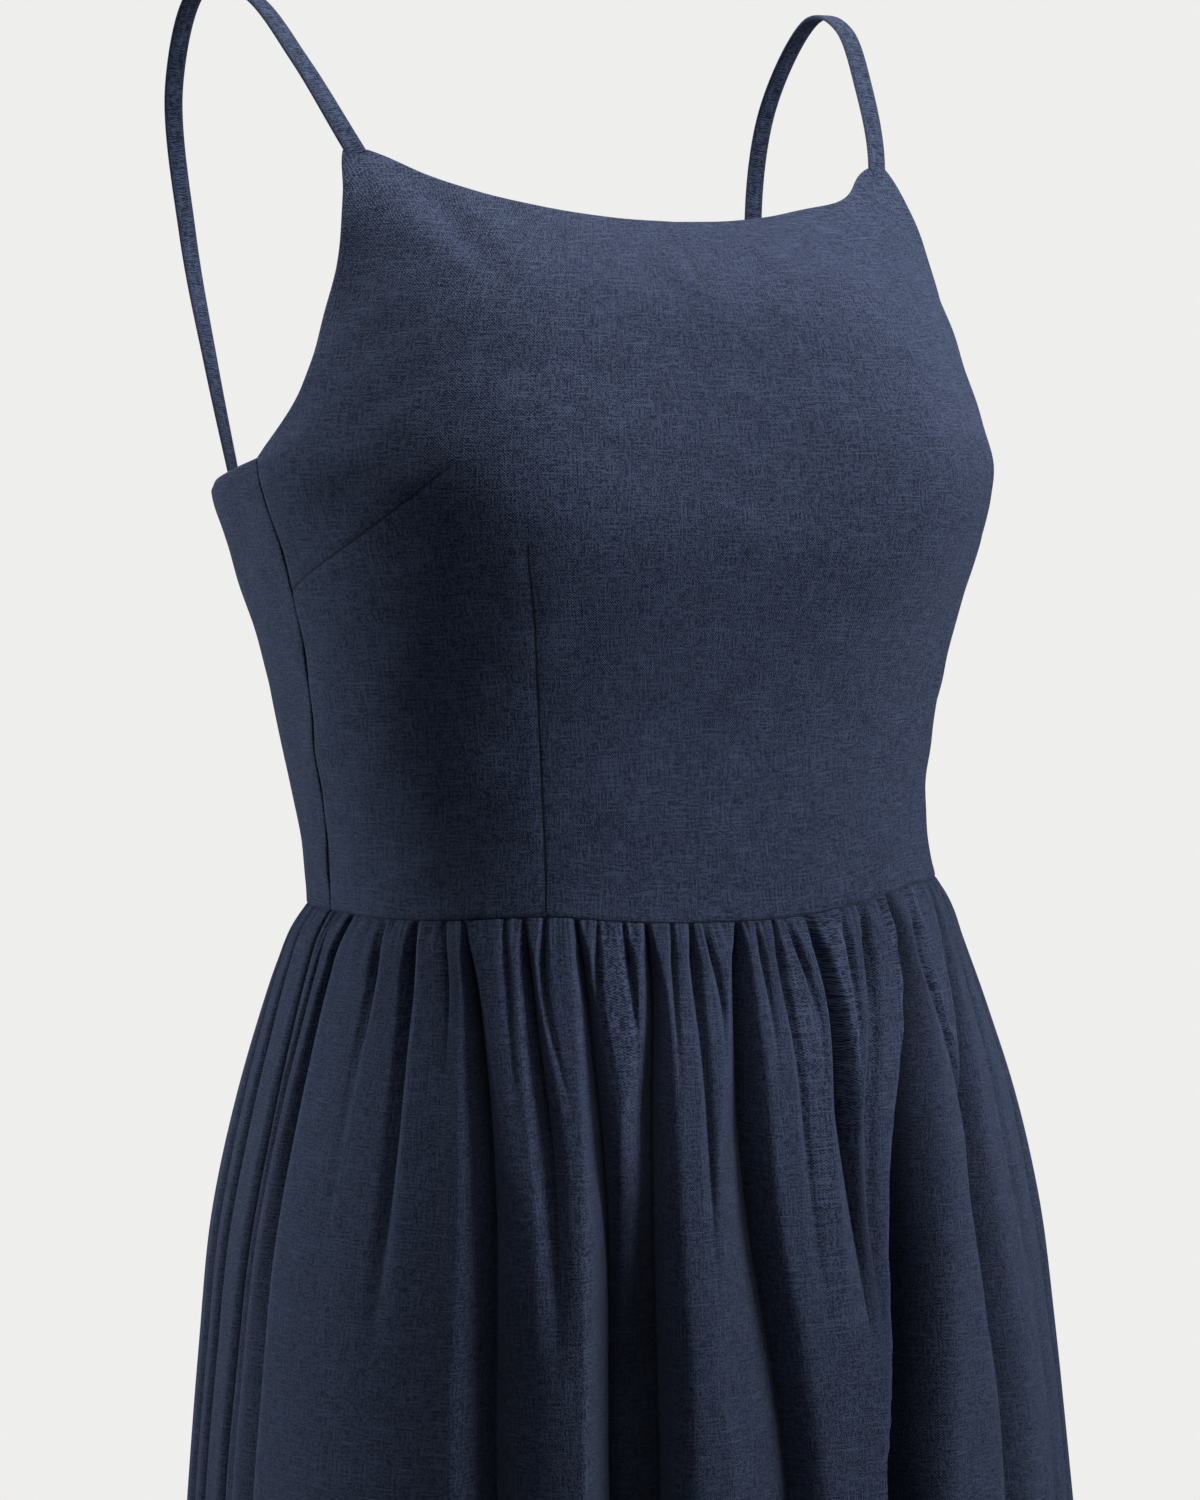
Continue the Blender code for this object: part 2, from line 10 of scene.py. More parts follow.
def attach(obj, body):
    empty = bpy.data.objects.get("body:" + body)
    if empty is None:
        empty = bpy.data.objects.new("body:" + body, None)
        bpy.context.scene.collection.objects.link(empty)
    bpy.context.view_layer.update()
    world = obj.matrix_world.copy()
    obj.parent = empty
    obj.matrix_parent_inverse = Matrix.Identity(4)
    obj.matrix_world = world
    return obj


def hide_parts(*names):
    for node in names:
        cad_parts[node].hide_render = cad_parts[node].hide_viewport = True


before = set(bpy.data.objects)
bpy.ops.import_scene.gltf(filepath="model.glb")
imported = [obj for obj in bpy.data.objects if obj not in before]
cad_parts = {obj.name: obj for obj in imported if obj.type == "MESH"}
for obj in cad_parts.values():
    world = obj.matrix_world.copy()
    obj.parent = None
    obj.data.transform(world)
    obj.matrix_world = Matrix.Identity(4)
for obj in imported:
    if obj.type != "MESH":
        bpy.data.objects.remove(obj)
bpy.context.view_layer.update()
scene = bpy.context.scene
scene.view_settings.view_transform = "Standard"

# The view: a long lens a metre and a half away, a little above the waist, on the wearer's right and
# tipped down. The frame is an upright 1200 by 1500, so the lens is set by its long side.
camera_data = bpy.data.cameras.new("camera")
camera_data.sensor_width = 36
camera_data.lens = 81.19
camera = bpy.data.objects.new("camera", camera_data)
camera_place = (-0.6088, -1.3757, -0.2490)
turned, tipped, rolled = math.radians(-24.86), math.radians(90 - 3.11), -0.0186
camera.matrix_world = (
    Matrix.Translation(camera_place)
    @ Matrix.Rotation(turned, 4, "Z")
    @ Matrix.Rotation(tipped, 4, "X")
    @ Matrix.Rotation(rolled, 4, "Z")
)
scene.collection.objects.link(camera)
scene.camera = camera

# The studio: a pale round floor under the dress and pale air all round. One softbox hangs overhead,
# the key stands in front on the wearer's left, and a bluish one lights the right side from behind.
# The last two have grids and point at the shoulders, so less of their light falls on the skirt.
FLOOR_RADIUS, FLOOR_HEIGHT, FLOOR_SIDES = 2.6, -1.40, 96
floor_mesh = bpy.data.meshes.new("studio_floor")
floor_turns = np.linspace(0, 2 * math.pi, FLOOR_SIDES + 1)[:-1]
floor_mesh.from_pydata(
    [(FLOOR_RADIUS * math.cos(t), FLOOR_RADIUS * math.sin(t), FLOOR_HEIGHT) for t in floor_turns],
    [],
    [tuple(range(FLOOR_SIDES))],
)
studio_floor = bpy.data.objects.new("studio_floor", floor_mesh)
scene.collection.objects.link(studio_floor)
floor_paint = bpy.data.materials.new("floor_paint")
floor_paint.use_nodes = True
floor_nodes, floor_links = floor_paint.node_tree.nodes, floor_paint.node_tree.links
floor_shader = floor_nodes["Principled BSDF"]
floor_shader.inputs["Base Color"].default_value = (0.8, 0.8, 0.79, 1)
floor_shader.inputs["Roughness"].default_value = 0.9
floor_shader.inputs["Specular IOR Level"].default_value = 0.0
floor_shader.inputs["Emission Color"].default_value = (0.55, 0.55, 0.545, 1)
floor_ray = floor_nodes.new("ShaderNodeLightPath")
floor_links.new(floor_ray.outputs["Is Camera Ray"], floor_shader.inputs["Emission Strength"])
floor_mesh.materials.append(floor_paint)

air = bpy.data.worlds.new("studio_air")
scene.world = air
air.use_nodes = True
air_nodes, air_links = air.node_tree.nodes, air.node_tree.links
air_nodes.clear()
air_seen = air_nodes.new("ShaderNodeBackground")
air_seen.inputs["Color"].default_value = (0.858, 0.858, 0.848, 1)
air_lights = air_nodes.new("ShaderNodeBackground")
air_lights.inputs["Color"].default_value = (0.93, 0.97, 1.0, 1)
air_lights.inputs["Strength"].default_value = 0.07
air_ray = air_nodes.new("ShaderNodeLightPath")
air_mix = air_nodes.new("ShaderNodeMixShader")
air_out = air_nodes.new("ShaderNodeOutputWorld")
air_links.new(air_ray.outputs["Is Camera Ray"], air_mix.inputs["Fac"])
air_links.new(air_lights.outputs[0], air_mix.inputs[1])
air_links.new(air_seen.outputs[0], air_mix.inputs[2])
air_links.new(air_mix.outputs[0], air_out.inputs["Surface"])


def softbox(name, place, aim, side, watts, colour, spread):
    """A square softbox: place, aim and side in metres, and its grid's spread in degrees."""
    light = bpy.data.lights.new(name, "AREA")
    light.shape = "SQUARE"
    light.size = side
    light.energy = watts
    light.spread = math.radians(spread)
    light.color = colour
    box = bpy.data.objects.new(name, light)
    box.location = place
    box.rotation_euler = (Vector(aim) - Vector(place)).to_track_quat("-Z", "Y").to_euler()
    scene.collection.objects.link(box)


softbox("top_softbox", (0, -0.05, 1.30), (0, -0.05, -0.35), 0.8, 21.5, (1.0, 1.0, 1.0), 180)
softbox("key_softbox", (1.63, -1.42, 0.51), (0, -0.05, 0), 0.9, 7.8, (1.0, 1.0, 1.0), 70)
softbox("rim_softbox", (-1.72, 1.44, 0.10), (0, -0.05, 0), 0.9, 5.8, (0.84, 0.92, 1.0), 70)

# Bodice front: one panel of yarn-dyed navy linen, shaped by a bust dart from each side seam and a
# waist dart on each side. Its neckline dips between the straps. Sizes are in mm, heights are above
# the waist seam, and angles go round the body from the centre front, positive to the left.
BODICE_SECTIONS = np.array(
    (
        # height, half width, front depth, back depth, fullness of the front
        (0, 130.5, 116, 85.5, 2.95),
        (30, 133.5, 112, 89, 2.5),
        (70, 140.5, 108, 98, 2.55),
        (110, 148.5, 118, 108, 2.5),
        (145, 159, 129, 116, 2.5),
        (175, 167, 126, 117.5, 2.5),
        (210, 159.5, 117.5, 115, 2.5),
        (250, 148, 101, 112, 2.5),
        (270, 149, 82, 111.5, 2.5),
        (290, 156, 57.5, 111, 2.5),
        (305, 165, 38.5, 110.5, 2.5),
        (320, 176, 22, 110, 2.5),
    ),
    float,
)
BACK_FULLNESS = 2.3
# Each bust cup is a soft swelling on those sections.
CUP_ANGLE, CUP_SPREAD, CUP_LIFT = 37.5, 17, 9
CUP_HEIGHT, CUP_REACH_UP, CUP_REACH_DOWN = 177, 60, 50
# The edges of the front panel, as heights and angles, and the neckline as angles and heights.
SIDE_SEAM = ((0, 85.4), (60, 82.2), (110, 79.0), (150, 77.4), (183, 79.6))
ARMHOLE = ((183, 79.6), (190, 76.9), (197, 74.7), (206, 72.7), (220, 71.3), (240, 71.2),
           (258, 70.4), (272, 70.9), (288, 72.8), (306, 77.1))
NECKLINE = ((0, 275.7), (20, 277), (40, 281.6), (55, 288.2), (65, 295.3), (75.5, 306.4))
UNDERARM = 183
# At its corners the front is cut blunt, where a strap is caught in: the share of the way out where
# the neckline ends and its angle there, then how far on and down the corner runs.
NECK_SHARE, NECK_END, CORNER_RUN, CORNER_DROP = 0.982, 75.5, 1.6, 0.4
# The left of the neckline sags a little: its angle, spread and depth.
SAG_ANGLE, SAG_SPREAD, SAG_DEPTH = 60, 9, 2.0
# The waist seam slants, for each mm to the left and to the back, and it waves: angles, then how far
# it rises there. The reaches say how far up and down each carries.
SLANT_TO_LEFT, SLANT_TO_BACK, SLANT_REACH = 0.0165, 0.0122, 150
WAIST_WAVE = ((-110, 0), (-75, 1.5), (-55, 2.2), (-42, 3.4), (-34, 3.2), (-25, 0.6), (-15, -1.6),
              (0, -3.3), (10, -3.8), (17, -3.2), (24, -2), (30, -0.2), (36, 1.8), (43, 3.6),
              (52, 2.8), (66, 2.4), (110, 0))
WAVE_REACH = 60
# The origin lies between the tops of the straps, behind the body's axis and above the waist seam.
ORIGIN = (0, 68, 386.4)
CLOTH_WALL = 1.0
# The panels stop short of the waist seam by this many mm, and of a side seam by this many degrees.
WAIST_CLEARANCE, SIDE_CLEARANCE = 0.1, 0.03
# How many mm a degree round the body is, for creases, for ripples and for the weave.
CREASE_ARC, RIPPLE_ARC, FRONT_WEAVE_ARC = 2.4, 2.5, 2.45
# Edges roll under over a short reach, by a depth: at a seam, at a turned edge and at the waist.
SEAM_ROLL, EDGE_ROLL, WAIST_ROLL = (1.2, 0.7), (0.8, 0.3), (1.2, 1.0)
# The waist swells over its seam: how far, and how quickly that dies out above.
WAIST_SWELL, SWELL_REACH = 0.5, 4
# Creases die out this near a free edge. FAR is farther than any seam or edge shows.
EDGE_CALM, FAR = 14, 60.0
# A ripple is the sum of so many waves, and about so many times as high as one of them.
RIPPLE_WAVES, RIPPLE_SUM = 14, 3.7
# Each dart is a sewn line of angles and heights, after how dark a painted shadow it has. The waist
# dart on the left is pulled sideways and shows as a soft crease only.
DARTS = (
    (1.0, ((-35.9, -1), (-36.1, 18), (-36.9, 51), (-36.9, 86), (-36.1, 123), (-36.0, 153))),
    (0.9, ((-77.4, 130), (-74.8, 133.7), (-62.2, 148.2), (-52.7, 163.3), (-48.9, 171),
           (-45.4, 177.3))),
    (0.12, ((45, -1), (47.4, 22), (51.9, 45), (55, 66), (55.7, 83), (54, 100), (50.7, 133),
            (48, 153))),
    (0.6, ((77.4, 130), (74.8, 133.7), (66, 143), (60, 151))),
)
# A dart's trough fades out over the last ninth of the line.
DART_DEPTH, DART_WIDTH, DART_FADE = 0.4, 1.7, 9
# Between these heights the side seams end and the armholes' turned edges take over.
SEAM_FADE = (182, 188)
# How dark the side and waist seams' painted shadow is, and how near to them they hide a dart's line.
SIDE_SHADE, WAIST_SHADE = 0.9, 0.8
SIDE_REACH, WAIST_REACH = 3, 2
# The left armhole has a slight ridge where its turned-in cloth ends: how high, how far in and how
# wide it is, and the heights between which it comes up.
RIDGE_HEIGHT, RIDGE_PLACE, RIDGE_WIDTH, RIDGE_START = 0.35, 3.6, 1.6, (200, 220)
FRONT_COLUMNS, FRONT_ROWS = 214, 164
# Soft ridges and troughs of strain, below the straps and armholes and above the waist: start and
# end as angle and height, then how far the cloth stands out and how wide that is.
DRAGS = (
    (-72, 297, -44, 244, 1.1, 6.0),
    (-66, 296, -42, 250, -1.3, 4.5),
    (-56, 287, -37, 254, 0.7, 6.0),
    (-73, 270, -58, 215, -0.6, 9.0),
    (70, 300, 47, 258, 0.7, 7.0),
    (66, 292, 50, 262, -0.6, 6.0),
    (68, 262, 60, 214, 0.9, 8.0),
    (58, 135, 60, 45, 0.9, 7.0),
    (-58, 192, -48, 207, 0.35, 2.2),
    (-60, 30, -46, 62, -0.5, 9.0),
    (48, 20, 60, 70, -0.5, 10.0),
)
# The linen's shades: deep between the threads, worn on top of them, and the shadow painted into
# sewn lines and fold hollows.
DEEP_NAVY = (0.0070, 0.0130, 0.0360, 1)
WORN_NAVY = (0.0620, 0.0830, 0.1560, 1)
PAINTED_SHADOW = (0.004, 0.006, 0.012, 1)
# How far one thread is from the next, then how often threads and slubs change along their run and
# across it, in 1/mm.
THREAD_PITCH = 1.05
THREAD_RUN, THREAD_PACK = 0.17, 1.45
SLUB_RUN, SLUB_PACK, SLUB_STRENGTH = 0.06, 1.5, 1.0
# How sharply the shadow in a sewn line ends, and the length over which puckers die out below one.
LINE_SHARPNESS, PUCKER_LENGTH = 3.2, 16


def math_node(tree, operation, *values, clamp=False):
    node = tree.nodes.new("ShaderNodeMath")
    node.operation = operation
    node.use_clamp = clamp
    for socket, value in zip(node.inputs, values):
        if isinstance(value, (int, float)):
            socket.default_value = value
        else:
            tree.links.new(value, socket)
    return node.outputs[0]


def thread_noise(tree, cloth, across, up, seed, detail=2.0):
    """Noise by place on the cloth in mm, with its frequencies across and up in 1/mm."""
    scaled = tree.nodes.new("ShaderNodeVectorMath")
    scaled.operation = "MULTIPLY"
    tree.links.new(cloth, scaled.inputs[0])
    scaled.inputs[1].default_value = (across, up, 1)
    noise = tree.nodes.new("ShaderNodeTexNoise")
    noise.noise_dimensions = "4D"
    noise.inputs["W"].default_value = seed
    noise.inputs["Scale"].default_value = 1.0
    noise.inputs["Detail"].default_value = detail
    noise.inputs["Roughness"].default_value = 0.6
    tree.links.new(scaled.outputs[0], noise.inputs["Vector"])
    return noise.outputs["Fac"]


def build_linen_weave():
    """A plain weave of uneven threads, with slubs that catch the light along the weft and fewer
    along the warp. It gives the shade from deep to raised, and the height for bump."""
    weave = bpy.data.node_groups.new("linen_weave", "ShaderNodeTree")
    for name, direction, kind in (
        ("Cloth mm", "INPUT", "NodeSocketVector"),
        ("Thread pitch", "INPUT", "NodeSocketFloat"),
        ("Slub", "INPUT", "NodeSocketFloat"),
        ("Shade", "OUTPUT", "NodeSocketFloat"),
        ("Height", "OUTPUT", "NodeSocketFloat"),
    ):
        weave.interface.new_socket(name=name, in_out=direction, socket_type=kind)
    given = weave.nodes.new("NodeGroupInput")
    made = weave.nodes.new("NodeGroupOutput")
    cloth = given.outputs["Cloth mm"]

    def spread(noise, gain, middle=0.5):
        """The noise with more contrast about its middle, kept from 0 to 1."""
        return math_node(weave, "MULTIPLY_ADD", noise, gain, middle - 0.5 * gain, clamp=True)

    def wave(place, uneven, seed):
        """A wave across the threads, whose spacing is a little uneven."""
        shift = thread_noise(weave, cloth, *uneven, seed, 0.0)
        moved = math_node(weave, "MULTIPLY_ADD", shift, 1.6, place)
        turns = math_node(weave, "DIVIDE", moved, given.outputs["Thread pitch"])
        return math_node(weave, "SINE", math_node(weave, "MULTIPLY", turns, 2 * math.pi))

    split = weave.nodes.new("ShaderNodeSeparateXYZ")
    weave.links.new(cloth, split.inputs[0])
    across_wave = wave(split.outputs["X"], (0.22, 0.02), 41.0)
    up_wave = wave(split.outputs["Y"], (0.02, 0.22), 53.0)
    checks = math_node(weave, "MULTIPLY", across_wave, up_wave)
    weft = spread(thread_noise(weave, cloth, THREAD_RUN, THREAD_PACK, 1.0), 4.5)
    warp = spread(thread_noise(weave, cloth, THREAD_PACK, THREAD_RUN, 7.0), 4.5)
    over = spread(thread_noise(weave, cloth, 0.35, 0.35, 19.0, 0.0), 3.0)
    threads = weave.nodes.new("ShaderNodeMix")
    weave.links.new(over, threads.inputs["Factor"])
    weave.links.new(warp, threads.inputs["A"])
    weave.links.new(weft, threads.inputs["B"])
    threads = threads.outputs["Result"]
    grain = spread(thread_noise(weave, cloth, 1.25, 1.25, 61.0, 1.0), 5.0)
    weft_slub = spread(thread_noise(weave, cloth, SLUB_RUN, SLUB_PACK, 13.0, 0.0), 8.0, -0.9)
    warp_slub = spread(thread_noise(weave, cloth, SLUB_PACK, SLUB_RUN, 23.0, 0.0), 8.0, -1.1)
    slubs = math_node(weave, "ADD", weft_slub, warp_slub)
    slubs = math_node(weave, "MULTIPLY", slubs, given.outputs["Slub"])
    mottle = thread_noise(weave, cloth, 0.05, 0.05, 31.0, 3.0)
    height = math_node(weave, "MULTIPLY_ADD", slubs, 0.30, threads)
    height = math_node(weave, "MULTIPLY_ADD", checks, 0.60, height)
    height = math_node(weave, "MULTIPLY_ADD", grain, 0.60, height)
    shade = math_node(weave, "MULTIPLY_ADD", slubs, 0.75, threads)
    shade = math_node(weave, "MULTIPLY_ADD", checks, 0.50, shade)
    shade = math_node(weave, "MULTIPLY_ADD", grain, 0.90, shade)
    shade = math_node(weave, "MULTIPLY_ADD", mottle, 0.3, shade)
    shade = math_node(weave, "MULTIPLY_ADD", shade, 1.05, -0.70, clamp=True)
    weave.links.new(shade, made.inputs["Shade"])
    weave.links.new(height, made.inputs["Height"])
    return weave


def linen(name, puckers=0.0):
    """Navy linen, with shadow painted into its colour along seam lines and in fold hollows, as a
    piece's attributes give. Puckers are the short creases that gathering leaves under the seam at
    the top of the cloth, and their depth; they are also painted darker in their troughs and lighter
    on their crests."""
    cloth = bpy.data.materials.new(name)
    cloth.use_nodes = True
    tree = cloth.node_tree
    shader = tree.nodes["Principled BSDF"]
    flat_cloth = tree.nodes.new("ShaderNodeUVMap")
    flat_cloth.uv_map = "cloth"
    in_mm = tree.nodes.new("ShaderNodeVectorMath")
    in_mm.operation = "SCALE"
    in_mm.inputs["Scale"].default_value = 1000
    tree.links.new(flat_cloth.outputs["UV"], in_mm.inputs[0])
    weave = tree.nodes.new("ShaderNodeGroup")
    weave.node_tree = linen_weave
    tree.links.new(in_mm.outputs[0], weave.inputs["Cloth mm"])
    weave.inputs["Thread pitch"].default_value = THREAD_PITCH
    weave.inputs["Slub"].default_value = SLUB_STRENGTH
    from_seam = tree.nodes.new("ShaderNodeAttribute")
    from_seam.attribute_name = "from_seam"
    painted_shade = tree.nodes.new("ShaderNodeAttribute")
    painted_shade.attribute_name = "painted_shade"
    # line is the painted shadow: dark at a sewn line and fading away from it, as dark as the piece
    # gives. On the skirt, where from_seam is 0, it is the shade painted in the fold hollows.
    squared = math_node(tree, "MULTIPLY", from_seam.outputs["Fac"], from_seam.outputs["Fac"])
    line = math_node(tree, "EXPONENT", math_node(tree, "MULTIPLY", squared, -LINE_SHARPNESS))
    line = math_node(tree, "MULTIPLY", line, painted_shade.outputs["Fac"])
    colour = tree.nodes.new("ShaderNodeMix")
    colour.data_type = "RGBA"
    colour.inputs["A"].default_value = DEEP_NAVY
    colour.inputs["B"].default_value = WORN_NAVY
    shade, height = weave.outputs["Shade"], weave.outputs["Height"]
    if puckers:
        place = tree.nodes.new("ShaderNodeSeparateXYZ")
        tree.links.new(in_mm.outputs[0], place.inputs[0])
        below = math_node(tree, "MULTIPLY", place.outputs["Y"], 1 / PUCKER_LENGTH)
        fade = math_node(tree, "EXPONENT", below)
        crease = thread_noise(tree, in_mm.outputs[0], 0.2, 0.02, 71.0, 1.0)
        crease = math_node(tree, "MULTIPLY_ADD", crease, 5, -2.5)
        crease = math_node(tree, "MULTIPLY", crease, fade)
        height = math_node(tree, "MULTIPLY_ADD", crease, puckers, height)
        # The puckers are painted into the colour too: shade in their troughs, light on their crests.
        shade = math_node(tree, "MULTIPLY_ADD", crease, 0.35, shade)
    tree.links.new(shade, colour.inputs["Factor"])
    # Here the painted shadow darkens the linen's colour.
    shadow_painted = tree.nodes.new("ShaderNodeMix")
    shadow_painted.data_type = "RGBA"
    shadow_painted.inputs["B"].default_value = PAINTED_SHADOW
    tree.links.new(math_node(tree, "MULTIPLY", line, 0.92), shadow_painted.inputs["Factor"])
    tree.links.new(colour.outputs["Result"], shadow_painted.inputs["A"])
    tree.links.new(shadow_painted.outputs["Result"], shader.inputs["Base Color"])
    height = math_node(tree, "SUBTRACT", height, math_node(tree, "MULTIPLY", line, 2.0))
    bump = tree.nodes.new("ShaderNodeBump")
    bump.inputs["Strength"].default_value = 0.5
    bump.inputs["Distance"].default_value = 0.00035
    tree.links.new(height, bump.inputs["Height"])
    tree.links.new(bump.outputs["Normal"], shader.inputs["Normal"])
    shader.inputs["Roughness"].default_value = 0.88
    shader.inputs["Specular IOR Level"].default_value = 0.25
    shader.inputs["Sheen Weight"].default_value = 0.18
    shader.inputs["Sheen Roughness"].default_value = 0.45
    shader.inputs["Sheen Tint"].default_value = (0.55, 0.65, 1.0, 1)
    return cloth


def smooth(where, stations, values):
    """A smooth curve through values at stations, held at its ends."""
    stations, values = np.asarray(stations, float), np.asarray(values, float)
    where = np.clip(np.asarray(where, float), stations[0], stations[-1])
    slopes = np.gradient(values, stations, axis=0)
    first = np.clip(np.searchsorted(stations, where) - 1, 0, len(stations) - 2)
    step = stations[first + 1] - stations[first]
    t = (where - stations[first]) / step
    if values.ndim > 1:
        t, step = t[:, None], step[:, None]
    start = (1 + 2 * t) * (1 - t) ** 2 * values[first] + t * (1 - t) ** 2 * step * slopes[first]
    end = t * t * (3 - 2 * t) * values[first + 1] - t * t * (1 - t) * step * slopes[first + 1]
    return start + end


def along_table(table, where):
    stations, values = np.array(table, float).T
    return smooth(where, stations, values)


def section_radius(angle, sections, where):
    """Radius of a section that is full at the sides and flatter at front and back."""
    half_width, front, back, front_fullness = (
        smooth(where, sections[:, 0], sections[:, k]) for k in (1, 2, 3, 4)
    )
    turn = np.radians(angle)
    faces_front = np.cos(turn) > 0
    fullness = np.where(faces_front, front_fullness, BACK_FULLNESS)
    side = (np.abs(np.sin(turn)) / half_width) ** fullness
    depth = (np.abs(np.cos(turn)) / np.where(faces_front, front, back)) ** fullness
    return (side + depth) ** (-1 / fullness)


def round_the_body(angle, radius, height):
    """Points of the dress, with the slant and the wave of its waist seam."""
    turn = np.radians(angle)
    x, y = radius * np.sin(turn), -radius * np.cos(turn)
    slant = np.clip(1 - np.abs(height) / SLANT_REACH, 0, 1)
    wave = np.clip(1 - np.abs(height) / WAVE_REACH, 0, 1)
    z = height + slant * (SLANT_TO_LEFT * x + SLANT_TO_BACK * y)
    z = z + wave * along_table(WAIST_WAVE, (angle + 180) % 360 - 180)
    return np.stack(np.broadcast_arrays(x, y, z), -1)


def bodice_point(angle, height):
    height = np.asarray(height, float)
    reach = np.where(height > CUP_HEIGHT, CUP_REACH_UP, CUP_REACH_DOWN)
    upright = ((height - CUP_HEIGHT) / reach) ** 2
    cups = sum(
        np.exp(-(((angle - side * CUP_ANGLE) / CUP_SPREAD) ** 2) - upright) for side in (-1, 1)
    )
    radius = section_radius(angle, BODICE_SECTIONS, height) + CUP_LIFT * cups
    return round_the_body(angle, radius, height)


def pushed(grid, lift):
    """The grid with each point moved outwards along the cloth's normal by its lift."""
    normal = np.cross(np.gradient(grid, axis=1), np.gradient(grid, axis=0))
    return grid + normal / np.linalg.norm(normal, axis=-1, keepdims=True) * lift[..., None]


def panel_places(bottom, top, start, end, u, v):
    """Angles and heights that fill a four-sided panel from its edges, at shares across and up."""
    u, v = u[None, :, None], v[:, None, None]
    across = (1 - v) * bottom[None] + v * top[None]
    along = (1 - u) * start[:, None] + u * end[:, None]
    low_corners = (1 - u) * bottom[0] + u * bottom[-1]
    high_corners = (1 - u) * top[0] + u * top[-1]
    return np.moveaxis(across + along - (1 - v) * low_corners - v * high_corners, -1, 0)


def crowded(count):
    """Shares from 0 to 1, with one more close to each end for a turned edge."""
    inner = np.linspace(0.5 / count, 1 - 0.5 / count, count - 3)
    return np.concatenate([[0, 0.14 / count], inner, [1 - 0.14 / count, 1]])


def rim_distances(grid):
    """Distance of each point from the panel's first and last columns and rows."""
    across = np.linalg.norm(np.diff(grid, axis=1), axis=-1)
    from_start = np.concatenate([np.zeros((len(grid), 1)), np.cumsum(across, 1)], 1)
    up = np.linalg.norm(np.diff(grid, axis=0), axis=-1)
    from_bottom = np.concatenate([np.zeros((1, grid.shape[1])), np.cumsum(up, 0)], 0)
    return from_start, from_start[:, -1:] - from_start, from_bottom, from_bottom[-1:] - from_bottom


def turned_edge(distance, roll):
    """How far an edge sinks as it rolls under, by the distance from it."""
    reach, depth = roll
    return -depth * np.clip(1 - distance / reach, 0, 1) ** 2


def ripple(angle, height, seed, size):
    """The slight unevenness of worn cloth: waves of 22 to 60 mm that run all ways."""
    draw = np.random.default_rng(seed)
    lift = np.zeros_like(angle)
    for _ in range(RIPPLE_WAVES):
        turn, wave, phase = draw.uniform(0, math.pi), draw.uniform(22, 60), draw.uniform(0, 6.3)
        run = angle * RIPPLE_ARC * np.cos(turn) + height * np.sin(turn)
        lift += np.sin(run * 6.283 / wave + phase)
    return lift * size / RIPPLE_SUM


def drag_lift(angle, height):
    """The strain creases of DRAGS, each strongest near its middle and fading at both ends."""
    lift = np.zeros_like(angle)
    for first_angle, first_height, last_angle, last_height, stand, width in DRAGS:
        run = np.array(((last_angle - first_angle) * CREASE_ARC, last_height - first_height))
        here = np.stack([(angle - first_angle) * CREASE_ARC, height - first_height], -1)
        share = (here @ run) / (run @ run)
        away = np.abs(here[..., 0] * run[1] - here[..., 1] * run[0]) / np.linalg.norm(run)
        fade = np.clip(1.15 - np.abs(share - 0.45) * 1.9, 0, 1)
        lift += stand * fade * np.exp(-((away / width) ** 2))
    return lift


def from_line(angle, height, line):
    """Signed distance of each point from a sewn line on the bodice, and its share along it."""
    line, steps = np.array(line, float), 36
    route = smooth(np.linspace(0, len(line) - 1, steps + 1), np.arange(len(line)), line)
    path, here = bodice_point(route[:, 0], route[:, 1]), bodice_point(angle, height)
    distance, share_along = np.full(angle.shape, 1e9), np.zeros(angle.shape)
    for step, (a, b) in enumerate(zip(path[:-1], path[1:])):
        run = b - a
        share = np.clip(((here - a) @ run) / (run @ run), 0, 1)
        gap = np.linalg.norm(here - (a + share[..., None] * run), axis=-1)
        flat_run = route[step + 1] - route[step]
        flat_here = angle - route[step, 0], height - route[step, 1]
        side = np.sign(flat_run[1] * flat_here[0] - flat_run[0] * flat_here[1])
        nearer = gap < np.abs(distance)
        distance = np.where(nearer, side * gap, distance)
        share_along = np.where(nearer, (step + share) / steps, share_along)
    return distance, share_along


def cloth_object(name, grid, cloth_uv, finish, from_seam, painted_shade):
    """A shell of cloth over a grid of points, rows going up and columns to the left. from_seam is
    each point's distance from a sewn line, and the last argument how dark the shadow painted there
    is, along that line or in a fold's hollow."""
    rows, columns = grid.shape[:2]
    starts = (np.arange(rows - 1)[:, None] * columns + np.arange(columns - 1)).ravel()
    quads = np.stack([starts, starts + 1, starts + columns + 1, starts + columns], -1)
    mesh = bpy.data.meshes.new(name)
    mesh.from_pydata(((grid.reshape(-1, 3) - ORIGIN) / 1000).tolist(), [], quads.tolist())
    uv = mesh.uv_layers.new(name="cloth")
    uv.data.foreach_set("uv", (cloth_uv.reshape(-1, 2)[quads.ravel()] / 1000).ravel())
    for attribute, values in (("from_seam", from_seam), ("painted_shade", painted_shade)):
        made = mesh.attributes.new(attribute, "FLOAT", "POINT")
        spread_out = np.broadcast_to(values, (rows, columns)).astype(np.float32)
        made.data.foreach_set("value", spread_out.ravel())
    mesh.shade_smooth()
    mesh.materials.append(finish)
    piece = bpy.data.objects.new(name, mesh)
    scene.collection.objects.link(piece)
    thicken = piece.modifiers.new("thickness", "SOLIDIFY")
    thicken.thickness = CLOTH_WALL / 1000
    thicken.offset = -1
    piece.data = bpy.data.meshes.new_from_object(
        piece.evaluated_get(bpy.context.evaluated_depsgraph_get())
    )
    piece.modifiers.clear()
    piece.data.name = name
    return piece


